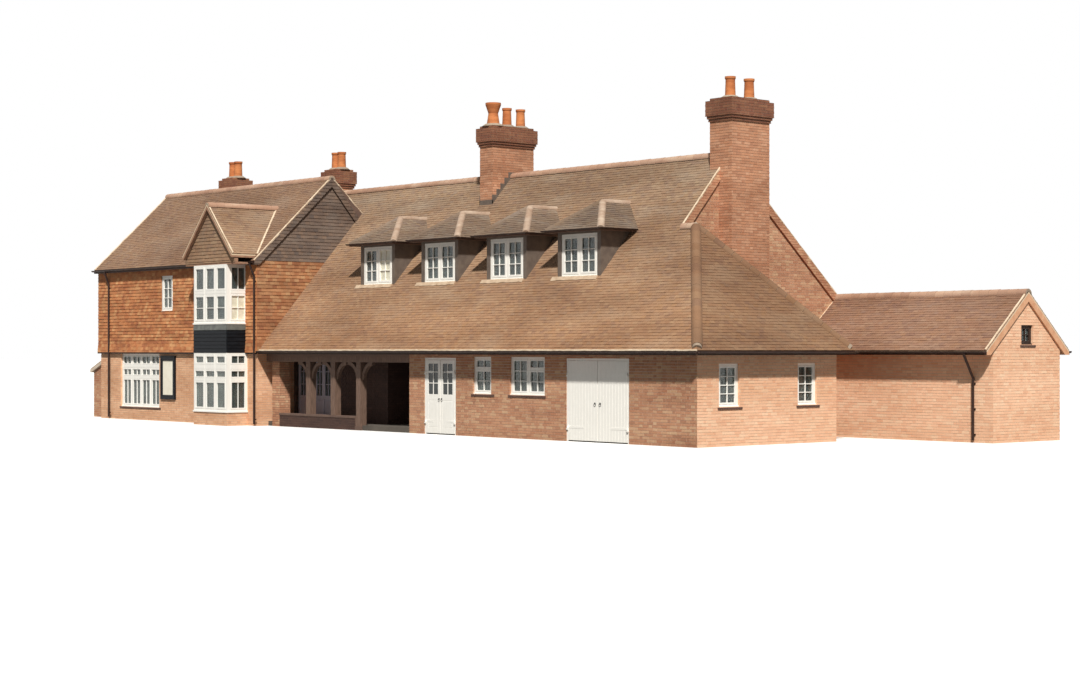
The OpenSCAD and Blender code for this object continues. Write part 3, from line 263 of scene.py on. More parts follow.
def circle(count):
    """Points spread evenly round a circle of radius 1."""
    return [(math.cos(math.tau * k / count), math.sin(math.tau * k / count)) for k in range(count)]


def without(rect, hole):
    """A rectangle less another, as up to four rectangles."""
    x0, y0, x1, y1 = rect
    a0, b0, a1, b1 = hole
    if a0 >= x1 or a1 <= x0 or b0 >= y1 or b1 <= y0:
        return [rect]
    left, right = max(x0, a0), min(x1, a1)
    parts = [(x0, y0, a0, y1), (a1, y0, x1, y1), (left, y0, right, b0), (left, b1, right, y1)]
    return [p for p in parts if p[2] - p[0] > 0.004 and p[3] - p[1] > 0.004]


class Form:
    """Points and faces gathered by short calls and made into one object at the end."""

    def __init__(self, place=None):
        self.place = place or Matrix.Identity(4)
        self.points = []
        self.faces = []

    def add(self, points, faces):
        """Faces over points that are given from the form's plane."""
        start = len(self.points)
        self.points.extend(self.place @ Vector(p) for p in points)
        self.faces.extend([start + i for i in face] for face in faces)

    def slab(self, outline, top, bottom, back=False):
        """A flat outline raised from bottom to top, where top may be a function of a point on it."""
        n = len(outline)
        high = top if callable(top) else lambda x, y: top
        self.add([(x, y, high(x, y)) for x, y in outline] + [(x, y, bottom) for x, y in outline],
                 [tuple(range(n))] + [(i, i + n, (i + 1) % n + n, (i + 1) % n) for i in range(n)]
                 + ([tuple(range(2 * n - 1, n - 1, -1))] if back else []))

    def bar(self, x0, y0, x1, y1, depth):
        """A box over a rectangle of the form's plane, whose depth gives its back and its front."""
        self.slab(oblong(x0, y0, x1, y1), depth[1], depth[0], back=True)

    def block(self, low, high):
        """A box between two corners."""
        self.bar(*low[:2], *high[:2], (low[2], high[2]))

    def sweep(self, rings, ends=True):
        """Joins rings of points, one after another."""
        n = len(rings[0])
        faces = []
        for r in range(len(rings) - 1):
            for i in range(n):
                j = (i + 1) % n
                faces.append((r * n + i, r * n + j, (r + 1) * n + j, (r + 1) * n + i))
        if ends:
            last = (len(rings) - 1) * n
            faces += [tuple(range(n - 1, -1, -1)), tuple(range(last, last + n))]
        self.add([p for ring in rings for p in ring], faces)

    def made(self, name, finish, smooth=False):
        """The object alone."""
        mesh = bpy.data.meshes.new(name)
        mesh.from_pydata(self.points, [], self.faces)
        mesh.validate()
        mesh.materials.append(FINISHES[finish])
        if smooth:
            mesh.shade_smooth()
        made = bpy.data.objects.new(name, mesh)
        bpy.context.scene.collection.objects.link(made)
        return made

    def piece(self, name, finish, slot, body="building", bevel=0.0, smooth=False):
        """The object, which rides on a body and takes a finish. The slot argument is not used."""
        made = self.made(name, finish, smooth)
        if bevel:
            edge = made.modifiers.new("edges", "BEVEL")
            edge.width = bevel
            edge.segments = 2
            edge.limit_method = "ANGLE"
        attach(made, body)


FINISHES = {}


# Finishes

MIX = {"data_type": "RGBA", "blend_type": "MIX"}
MULTIPLY = {"data_type": "RGBA", "blend_type": "MULTIPLY"}


def node(tree, kind, inputs=None, stops=(), **settings):
    """Adds a node with its settings, the colours of its ramp, and values or sources for its inputs."""
    made = tree.nodes.new("ShaderNode" + kind)
    for key, value in settings.items():
        setattr(made, key, value)
    for i, (place, code) in enumerate(stops):
        stop = made.color_ramp.elements[i] if i < 2 else made.color_ramp.elements.new(place)
        stop.position = place
        stop.color = (*linear(code), 1)
    for key, value in (inputs or {}).items():
        if isinstance(value, bpy.types.NodeSocket):
            tree.links.new(value, made.inputs[key])
        else:
            made.inputs[key].default_value = value
    return made


def even(codes):
    """Hex colours spread evenly along a ramp."""
    return [(i / (len(codes) - 1), code) for i, code in enumerate(codes)]


def finish(key, name):
    """A new material under a short key, with its node tree and the building's own coordinates."""
    made = bpy.data.materials.new(name)
    made.use_nodes = True
    made.node_tree.nodes.clear()
    FINISHES[key] = made
    return made.node_tree, node(made.node_tree, "TexCoord").outputs["Object"]


def surface(tree, colour, roughness, height, depth, **values):
    """Ends a material: its colour, its roughness, and the bump of a height field with a depth in metres."""
    bump = node(tree, "Bump", {"Height": height, "Distance": depth, "Strength": 0.8}).outputs["Normal"]
    inputs = {"Base Color": colour, "Roughness": roughness, "Normal": bump}
    inputs.update({key.replace("_", " ").title().replace("Ior", "IOR"): v for key, v in values.items()})
    shader = node(tree, "BsdfPrincipled", inputs)
    node(tree, "OutputMaterial", {"Surface": shader.outputs["BSDF"]})


def seen_rays(tree):
    """1 for what the camera sees, straight on, in gloss or through glass, and 0 for light on its way."""
    rays = node(tree, "LightPath").outputs
    seen = node(tree, "Math", {0: rays["Is Camera Ray"], 1: rays["Is Glossy Ray"]}, operation="MAXIMUM")
    return node(tree, "Math", {0: seen.outputs[0], 1: rays["Is Transmission Ray"]},
                operation="MAXIMUM").outputs[0]


def clay(key, name, shades, weather, patch, grit, lean, lichen=None, fade=None):
    """Hand-made clay fired in a clamp: each piece has its own shade, weather lies along the courses.

    Patches and grit are widths in metres. Moulding sand is 1 mm, too fine to show from the road,
    so its grit is drawn as coarse as 6 to 15 mm. The shade leans towards one colour. Lichen is a colour
    and the width of its spots, and a fade is two heights and the shade that the clay takes at each.
    """
    tree, place = finish(key, name)
    own = node(tree, "NewGeometry").outputs["Random Per Island"]
    colour = node(tree, "ValToRGB", {"Fac": own}, even(shades)).outputs["Color"]
    colour = node(tree, "Mix", {0: 0.35, 6: colour, 7: (*lean[:3], 1)}, **MIX).outputs[2]
    level = node(tree, "Mapping", {"Vector": place, "Scale": (0.4, 0.4, 1.5)}).outputs["Vector"]
    wide = node(tree, "TexNoise", {"Vector": level, "Scale": 1 / patch, "Detail": 5, "Roughness": 0.55})
    stain = node(tree, "ValToRGB", {"Fac": wide.outputs["Fac"]}, [(0.36, weather[0]), (0.64, weather[1])])
    colour = node(tree, "Mix", {0: 0.75, 6: colour, 7: stain.outputs["Color"]}, **MULTIPLY).outputs[2]
    fine = node(tree, "TexNoise", {"Vector": place, "Scale": 1 / grit, "Detail": 6, "Roughness": 0.7})
    fine = fine.outputs["Fac"]
    grain = node(tree, "MapRange", {0: fine, 1: 0.3, 2: 0.7, 3: 0.78, 4: 1.15}).outputs[0]
    colour = node(tree, "Mix", {0: 1.0, 6: colour, 7: grain}, **MULTIPLY).outputs[2]
    if lichen:
        code, size = lichen
        spots = node(tree, "TexNoise", {"Vector": level, "Scale": 1 / size, "Detail": 6, "Roughness": 0.6})
        grown = node(tree, "MapRange", {0: spots.outputs["Fac"], 1: 0.52, 2: 0.75, 3: 0.0, 4: 0.5}).outputs[0]
        colour = node(tree, "Mix", {0: grown, 6: colour, 7: (*linear(code), 1)}, **MIX).outputs[2]
    if fade:
        foot, top, low, high = fade
        height = node(tree, "SeparateXYZ", {"Vector": place}).outputs["Z"]
        up = node(tree, "MapRange", {0: height, 1: foot, 2: top}).outputs[0]
        ramp = node(tree, "ValToRGB", {"Fac": up}, [(0.0, low), (1.0, high)]).outputs["Color"]
        colour = node(tree, "Mix", {0: 1.0, 6: colour, 7: ramp}, **MULTIPLY).outputs[2]
    rough = node(tree, "MapRange", {0: fine, 1: 0.3, 2: 0.7, 3: 0.78, 4: 0.95}).outputs[0]
    surface(tree, colour, rough, fine, grit / 6)


def plain(key, name, codes, patch, grit, rough, depth, stretch=(1, 1, 1), lean=None, verge=None, **values):
    """A finish of one colour that varies over patches and has a fine grain, which may be drawn out one way.

    Patches and grit are widths in metres. Brush marks and wood pores under 1 mm are drawn 3 mm wide or
    more, so that they show. A verge is an axis, a place on it, the slopes' steepness and their height there.
    """
    tree, spot = finish(key, name)
    place = node(tree, "Mapping", {"Vector": spot, "Scale": stretch}).outputs["Vector"]
    wide = node(tree, "TexNoise", {"Vector": place, "Scale": 1 / patch, "Detail": 4, "Roughness": 0.55})
    colour = node(tree, "ValToRGB", {"Fac": wide.outputs["Fac"]},
                  [(0.35, codes[0]), (0.65, codes[1])]).outputs["Color"]
    if lean:
        colour = node(tree, "Mix", {0: 0.5, 6: colour, 7: (*lean[:3], 1)}, **MIX).outputs[2]
    fine = node(tree, "TexNoise", {"Vector": place, "Scale": 1 / grit, "Detail": 5, "Roughness": 0.65})
    fine = fine.outputs["Fac"]
    grain = node(tree, "MapRange", {0: fine, 1: 0.25, 2: 0.75, 3: 0.9, 4: 1.06}).outputs[0]
    colour = node(tree, "Mix", {0: 1.0, 6: colour, 7: grain}, **MULTIPLY).outputs[2]
    if verge:
        # Mortar bedding shows in the top 5 cm of a verge, under two slopes that meet at a height over a line
        axis, middle, slope, top = verge
        parts = node(tree, "SeparateXYZ", {"Vector": spot}).outputs
        out = node(tree, "Math", {0: parts[axis], 1: middle}, operation="SUBTRACT").outputs[0]
        out = node(tree, "Math", {0: out}, operation="ABSOLUTE").outputs[0]
        level = node(tree, "Math", {0: out, 1: slope, 2: parts["Z"]}, operation="MULTIPLY_ADD").outputs[0]
        line = node(tree, "MapRange", {0: level, 1: top - 0.05, 2: top - 0.042}).outputs[0]
        colour = node(tree, "Mix", {0: line, 6: colour, 7: (*linear("#d9c3a6"), 1)}, **MIX).outputs[2]
    rough = node(tree, "MapRange", {0: fine, 1: 0.3, 2: 0.7, 3: rough - 0.07, 4: rough + 0.07}).outputs[0]
    surface(tree, colour, rough, fine, depth, **values)


def clay_finishes(tints):
    """Bricks, roof tiles, hung tiles and pots."""
    # Stock brick pressed in sanded moulds: orange to plum faces with a sandy, matt skin
    clay("brick", "Sand-faced stock brick",
         ["#c1896a", "#d1a07d", "#b67d5e", "#ddbc96", "#c99574", "#a97a60"],
         ("#cfc3bb", "#ffffff"), 1.6, 0.012, tints.bricks)
    # Paler bricks of the later extension, bleached by the sun to peach
    clay("pale_brick", "Sun-bleached brick",
         ["#f7c49f", "#fecfac", "#efb893", "#ffdcba", "#f9c7a4", "#e9af8b"],
         ("#e8ddd2", "#ffffff"), 1.8, 0.012, linear("#fbcba8"))
    # Bricks low on the wing, washed pale by road dust and splashing rain
    clay("dusty_brick", "Dust-washed brick",
         ["#ecb992", "#f5c7a1", "#e4ad87", "#fcd3ae", "#f0bf9a", "#dba27e"],
         ("#d6c9be", "#ffffff"), 1.2, 0.012, linear("#f2c09a"))
    # Bricks of the porch and of its dwarf wall, drawn near-black: painted shade, as the porch lies in deep
    # shadow
    clay("porch_brick", "Brick darkened as porch shade", ["#4a332b", "#553b31", "#422d27", "#5c4136"],
         ("#bdb2aa", "#ffffff"), 0.8, 0.012, linear("#4a342c"))
    # The same brick reddened by rain up on the stacks, and blackened by soot on their caps
    clay("stack_brick", "Stack brick", ["#c28260", "#d09674", "#b27355", "#dba888", "#a56a50"],
         ("#c9beb6", "#ffffff"), 0.9, 0.012, linear("#d6a27e"))
    clay("cap_brick", "Sooted brick", ["#8f5e43", "#9c6c4e", "#83533d", "#a67856", "#744b39"],
         ("#bfb2aa", "#ffffff"), 0.6, 0.012, linear("#8a5241"))
    # Plain roof tiles pressed from sandy clay, sandy by the eaves and purple-brown where moss held on
    roof_shades = ["#a9896e", "#bb9a7b", "#b08a6c", "#c2a585", "#9c7d6a", "#b9946e", "#ad947f"]
    for key, name, low, high in (
            ("roof_tile", "Weathered clay roof tile", "#ecddd1", "#dce0e4"),
            ("wing_tile", "Wing roof tile", "#cec8c8", "#cec8c8"),
            ("bay_tile", "Bay roof tile", "#e5e4e5", "#e5e4e5"),
            ("hip_tile", "Extension roof tile", "#c5b7ab", "#c5b7ab"),
            ("range_tile", "Rear range roof tile", "#d6c8ca", "#d6c8ca")):
        clay(key, name, roof_shades, ("#c5bab2", "#ffffff"), 1.5, 0.015, tints.roof_tiles,
             ("#b9a58e", 0.9), (2.4, 7.4, low, high))
    # Tiles on the dormers, drawn darker and greyer than the main roof's and darkest low down: painted shade.
    # Spots of lichen grow on them too
    clay("shaded_dormer_tile", "Damp-greyed roof tile", roof_shades, ("#b3a9a4", "#efe9e6"), 1.0, 0.015,
         linear("#918477"), ("#a4978a", 0.5), (5.6, 6.6, "#bcbfc1", "#dbe1e6"))
    # Hung tiles get less rain than roofs do, so they keep the kiln's orange. The copy on the wing's right
    # side is darker and cooler: painted shade
    for key, name, shade in (("hung_tile", "Hung clay tile", "#ffffff"),
                             ("shaded_side_tile", "Hung clay tile darkened as side shade", "#dce6f2")):
        clay(key, name, ["#c67e4f", "#db9b69", "#b66d44", "#e8b47e", "#a36041", "#d28c59"],
             ("#c2b6ae", "#ffffff"), 0.45, 0.012, tints.hung_tiles, fade=(2.4, 5.4, shade, shade))
    # Hung tiles high on the gables, darker and greyer than those below, with spots of lichen
    clay("gable_tile", "Dark grey hung tile", ["#726157", "#7e6b5c", "#685a52", "#89715e", "#5f5550"],
         ("#b9aca4", "#ffffff"), 0.7, 0.012, linear("#6f6057"), ("#857a70", 0.5))
    # Half-round ridge tiles, paler than the roof because rain washes them first
    clay("ridge_tile", "Clay ridge tile", ["#b08a74", "#bf9a82", "#a57f6b", "#c8a68c"],
         ("#d9c8bb", "#ffffff"), 0.6, 0.01, linear("#c2a38c"), ("#cfbca4", 0.4))
    # The same tiles on the dormers, greyed by the mortar that was smeared over them
    clay("pale_ridge", "Mortar-washed ridge tile", ["#af9784", "#baa491", "#a58c78"],
         ("#d9c8bb", "#ffffff"), 0.3, 0.01, linear("#b39f8c"), ("#d8c8b2", 0.2))
    # Plain tiles laid on edge under the sills, drawn dark: painted shade under the sills
    clay("sill_tile", "Sill tile darkened as shade", ["#5a4138", "#6a4c40", "#503a33"],
         ("#c5bab2", "#ffffff"), 0.5, 0.012, linear("#5c443a"))
    # Thrown pots, fired harder than the tiles: bright orange with smoke stains
    clay("pot", "Terracotta", ["#cb7c48", "#d88c55"], ("#b79682", "#ffffff"), 0.25, 0.006, linear("#cc7f4a"))


def plain_finishes(tints):
    """Mortar, stone, timber, paint and metal."""
    # Lime mortar: pale, sandy and soft, with darker damp patches
    plain("mortar", "Lime mortar", ("#bfae9b", "#d8c9b6"), 0.5, 0.004, 0.92, 0.0008)
    plain("old_mortar", "Weathered lime mortar", ("#8d7c6c", "#a99884"), 0.4, 0.004, 0.92, 0.0008)
    # Mortar of the porch's walls, drawn near-black: painted shade of the porch
    plain("dark_mortar", "Mortar darkened as porch shade", ("#2c211d", "#3a2c26"), 0.4, 0.004, 0.92, 0.0008)
    # Mortar bedding on ridges, hips and verges, bleached cream by the sun
    plain("bedding", "Bleached lime bedding", ("#c9b398", "#e2d0b6"), 0.3, 0.006, 0.93, 0.0012)
    # Mortar trowelled over the tiles below a dormer, browner where water runs down
    plain("apron_mortar", "Mortar apron", ("#b39a80", "#c8b197"), 0.2, 0.02, 0.85, 0.0015)
    # Tiles and laths seen from beneath and in the joints: dull and dark
    plain("under_tile", "Tile battens", ("#5d463a", "#73584a"), 0.4, 0.01, 0.9, 0.001)
    # Cut ends of roofs, where clay and its bedding show together
    plain("bay_edge", "Sandy tile verge", ("#8f6b57", "#a98368"), 0.15, 0.03, 0.9, 0.002,
          verge=("X", BAY_X, 2 * (BAY_HIGH.z - BAY_EDGE) / (BAY_HIGH.x - BAY_LOW.x), BAY_HIGH.z))
    plain("range_edge", "Pale brick verge", ("#cf9873", "#e0ad88"), 0.2, 0.03, 0.9, 0.002,
          verge=("Y", RANGE_RIDGE_Y, REAR_TAN, RANGE_HIGH.z))
    plain("brick_edge", "Brick verge", ("#a3654c", "#b87a5e"), 0.4, 0.03, 0.9, 0.002)
    plain("tile_edge", "Tile verge", ("#5d4940", "#6e574b"), 0.4, 0.03, 0.9, 0.002)
    # Riven stone flags, worn smooth where people walk, drawn dark: painted shade on the porch's floor
    plain("stone", "Stone flags darkened as shade", ("#4d463f", "#5e564d"), 0.6, 0.01, 0.8, 0.001)
    # Sawn deal scrubbed for years: warm brown with grain along the boards
    plain("floor_boards", "Deal floorboards", ("#8a6d4e", "#a5865f"), 0.3, 0.01, 0.6, 0.0005, (1, 8, 1))
    # Brushed gloss paint on softwood: nearly even, with faint brush marks along the grain
    plain("white_paint", "White gloss paint", ("#f3f1e9", "#fcfaf3"), 0.4, 0.003, 0.38, 0.0002, (6, 6, 1),
          tints.joinery)
    # The porch screen's white paint, drawn grey-mauve: painted shade deep in the porch
    plain("shaded_white_paint", "White paint greyed as porch shade", ("#c2bac6", "#d0c9d4"), 0.4, 0.003, 0.42, 0.0002, (6, 6, 1))
    plain("black_paint", "Black boarding paint", ("#0c0e12", "#15181d"), 0.3, 0.004, 0.5, 0.0003, (1, 1, 6),
          specular_ior_level=0.15)
    plain("fascia_paint", "Brown fascia paint", ("#33251e", "#402f27"), 0.5, 0.004, 0.6, 0.0002, (1, 6, 6),
          specular_ior_level=0.2)
    # Woven baize stretched over the back of the notice case: cream and without any shine
    plain("notice_panel", "Cream baize panel", ("#efe9d6", "#f9f4e3"), 0.3, 0.003, 0.85, 0.0003)
    # Oak left to the weather: silver-brown, with open grain that runs along posts and beams
    plain("oak", "Weathered oak", ("#5a463a", "#7b6152"), 0.18, 0.006, 0.75, 0.0012, (9, 9, 0.8))
    plain("oak_beam", "Weathered oak beam", ("#46352a", "#604a3b"), 0.18, 0.006, 0.75, 0.0012, (0.8, 9, 9))
    # Milled sheet lead under its grey patina: soft dents and a dull sheen
    plain("lead", "Weathered sheet lead", ("#5f615e", "#757771"), 0.15, 0.02, 0.6, 0.0015, metallic=0.5)
    plain("cheek", "Dark weathered lead", ("#5c5048", "#6d6055"), 0.2, 0.02, 0.7, 0.0015)
    # Cast-iron rainwater goods under thick red-brown paint
    plain("iron", "Painted cast iron", ("#2c1d18", "#3a2822"), 0.25, 0.005, 0.5, 0.0004,
          specular_ior_level=0.2)
    # Forged iron baked in black lacquer: smooth, with a soft shine
    plain("hinge_iron", "Black japanned iron", ("#1b1a1a", "#262423"), 0.1, 0.004, 0.4, 0.0004)
    # Glass with a dark room behind it: the leaves are solid, so the dark is in the pane itself
    plain("dark_glass", "Door glass", ("#20282a", "#2c3536"), 0.3, 0.05, 0.1, 0.0002)
    # A net curtain hangs close behind some of the dormers' panes, which makes them cream. In the bay's right
    # cant the same cream sheets are a painted reflection
    plain("cream_pane", "Cream pane glass", ("#d5d0b8", "#e9e5d2"), 0.25, 0.05, 0.1, 0.0002)


def floor_finish():
    """Rolled white studio paper. Only the eye sees it white: it throws little light up at the walls."""
    tree, place = finish("floor", "Studio floor")
    wide = node(tree, "TexNoise", {"Vector": place, "Scale": 1 / 8, "Detail": 4, "Roughness": 0.55})
    paper = node(tree, "ValToRGB", {"Fac": wide.outputs["Fac"]}, [(0.3, "#f6f6f5"), (0.7, "#f9f9f8")])
    colour = node(tree, "Mix", {0: seen_rays(tree), 6: (0.2, 0.2, 0.195, 1), 7: paper.outputs["Color"]},
                  **MIX)
    fine = node(tree, "TexNoise", {"Vector": place, "Scale": 1 / 0.5, "Detail": 4, "Roughness": 0.55})
    surface(tree, colour.outputs[2], 0.9, fine.outputs["Fac"], 0.0002)


def glass_finish():
    """Drawn sheet glass: never quite flat, so reflections waver a little from pane to pane."""
    tree, place = finish("glass", "Drawn window glass")
    wave = node(tree, "TexNoise", {"Vector": place, "Scale": 1 / 0.35, "Detail": 2, "Roughness": 0.55})
    bump = node(tree, "Bump", {"Height": wave.outputs["Fac"], "Distance": 0.002, "Strength": 0.2})
    cloud = node(tree, "TexNoise", {"Vector": place, "Scale": 1 / 0.8, "Detail": 4, "Roughness": 0.55})
    shade = node(tree, "ValToRGB", {"Fac": cloud.outputs["Fac"]}, [(0.3, "#9aa8a6"), (0.7, "#c3cfcc")])
    dust = node(tree, "TexNoise", {"Vector": place, "Scale": 1 / 0.2, "Detail": 4, "Roughness": 0.55})
    smear = node(tree, "MapRange", {0: dust.outputs["Fac"], 1: 0.3, 2: 0.7, 3: 0.02, 4: 0.08})
    shader = node(tree, "BsdfPrincipled", {
        "Base Color": shade.outputs["Color"], "Roughness": smear.outputs[0], "IOR": 1.5,
        "Transmission Weight": 0.9, "Normal": bump.outputs["Normal"]})
    node(tree, "OutputMaterial", {"Surface": shader.outputs["BSDF"]})


CAD_FINISH = {
    "ground_floor": "stone", "upper_floors": "floor_boards", "wing_tile_hanging": "under_tile",
    "bay_panel": "black_paint", "bay_windows": "white_paint", "porch_frame": "oak",
    "porch_screen": "shaded_white_paint", "entrance_door": "black_paint", "dormer_walls": "cheek",
    "upper_windows": "white_paint", "ground_windows": "white_paint", "window_glass": "glass",
    "door_frames": "white_paint", "garage_door_left": "white_paint", "garage_door_right": "white_paint",
    "side_door_left": "white_paint", "side_door_right": "white_paint", "chimney_stacks": "old_mortar",
    "chimney_caps": "old_mortar", "chimney_pots": "pot", "ridge_and_hip_tiles": "old_mortar",
    "fascia_boards": "fascia_paint", "gutters_and_downpipes": "iron", "notice_board": "black_paint",
    "rear_range_roof": "range_edge", "main_roof_front": "brick_edge", "main_roof_rear": "brick_edge",
    "wing_roof_front": "tile_edge", "wing_roof_rear": "tile_edge", "bay_roof": "bay_edge",
    # The porch's walls and its dwarf wall take dark finishes: painted shade of the porch
    "porch_walls": "dark_mortar", "porch_dwarf_wall": "tile_edge",
}


def paint_solids():
    """Gives each solid its finish. Walls show as mortar behind bricks, roofs as battens under tiles."""
    for name, made in frame["nodes"].items():
        usual = "under_tile" if "roof" in name else "mortar"
        key = CAD_FINISH.get(name, usual)
        for slot in made.material_slots:
            slot.material = FINISHES[key]


# Laying bricks and tiles

def lay(form, outline, kit, holes=(), seed=1):
    """Lays bricks or tiles in courses over a convex outline, cut round rectangular holes."""
    rng = random.Random(seed)
    outline = anticlockwise(outline)
    edges = list(zip(outline[-1:] + outline[:-1], outline))
    left, right = min(p[0] for p in outline), max(p[0] for p in outline)
    low, high = min(p[1] for p in outline), max(p[1] for p in outline)
    period = sum(kit["widths"]) + kit["joint"] * len(kit["widths"])
    first = math.floor(low / kit["course"] + 1e-6)
    for row in range(first, math.ceil(high / kit["course"])):
        y0 = row * kit["course"]
        y1 = y0 + kit["course"] - kit["bed"]
        kick = kit["kick"] * max(0, 3 - (row - first))
        x = math.floor(left / period - 1) * period + (row % 2) * period / 2
        while x < right:
            for width in kit["widths"]:
                whole = (x, y0, x + width, y1)
                parts = [whole]
                for hole in holes:
                    parts = [piece for part in parts for piece in without(part, hole)]
                lift = rng.uniform(*kit["lift"]) + kick + kit["nose"]
                turn = rng.uniform(-kit["turn"], kit["turn"])
                middle = x + width / 2
                depth = -0.002 if parts == [whole] else -kit["deep"]
                for a, b, c, d in parts:
                    corners = oblong(a, b, c, d)
                    if any((q[0] - p[0]) * (k[1] - p[1]) < (q[1] - p[1]) * (k[0] - p[0])
                           for p, q in edges for k in corners):
                        corners = clip(corners, outline)
                    if corners:
                        form.slab(corners, lambda u, v: lift + turn * (u - middle) - kit["fall"] * (v - y0),
                                  depth)
                x += width + kit["joint"]


def in_dormer(low):
    """Whether an upper window is a dormer's: behind the wing's front and before the main ridge."""
    return HUNG_LOW.y + 0.3 < low.y < RIDGE_Y


def hole_in(place, low, high, less=0.002):
    """The rectangle that a box makes on an upright surface, a little smaller than the box."""
    spots = flat(place, [(x, y, z) for x in (low[0], high[0]) for y in (low[1], high[1])
                         for z in (low[2], high[2])])
    xs, ys = zip(*spots)
    return (min(xs) + less, min(ys) + less, max(xs) - less, max(ys) - less)


def near(place, boxes):
    """The holes that boxes close to a wall's face make in it."""
    return [hole_in(place, low, high) for low, high in boxes
            if abs((place.inverted() @ ((low + high) / 2)).z) < 0.2]


def over(place, points):
    """Places on a sloping surface straight above points of the plan."""
    n = place.to_3x3().col[2]
    o = place.translation
    return flat(place, [(x, y, o.z - (n.x * (x - o.x) + n.y * (y - o.y)) / n.z) for x, y in points])


def plan_hole(place, low, high, more=0.0):
    """The rectangle that an upright shaft cuts in a sloping surface."""
    spots = over(place, oblong(low[0] - more, low[1] - more, high[0] + more, high[1] + more))
    xs, ys = zip(*spots)
    return (min(xs), min(ys), max(xs), max(ys))


def verge(form, x, side, line, kit, seed, foot=0):
    """Brick or tile over a roof's end: line gives the points of its top edge, as y and height."""
    form.place = wall(x, 0, x, side)
    for (y0, z0), (y1, z1) in zip(line, line[1:]):
        drop = SLAB * math.hypot(1, (z1 - z0) / (y1 - y0))
        band = [(side * y0, z0 - drop), (side * y1, z1 - drop), (side * y1, z1), (side * y0, z0)]
        lay(form, clip(anticlockwise(band), oblong(-FAR, foot, FAR, FAR)), kit, (), seed)
        seed += 1


def brick_kit(sizes):
    """Flemish bond: a brick and a half brick in turn, with the mortar set back from their faces."""
    joint = sizes.mortar_joint
    return {"widths": (sizes.brick_length, (sizes.brick_length - joint) / 2), "joint": joint,
            "course": sizes.brick_height + joint, "bed": joint, "nose": 0.006, "fall": 0.0,
            "lift": (-0.0015, 0.0015), "turn": 0.004, "deep": 0.055, "kick": 0.0}


def tile_kit(sizes, gauge, kick=0.0):
    """Plain tiles: each nose stands over the course below, and no two lie quite alike."""
    return {"widths": (sizes.tile_width,), "joint": 0.003, "course": gauge, "bed": 0.0,
            "nose": sizes.tile_nose, "fall": 0.10, "lift": (-0.001, 0.005), "turn": 0.02, "deep": 0.002,
            "kick": kick}


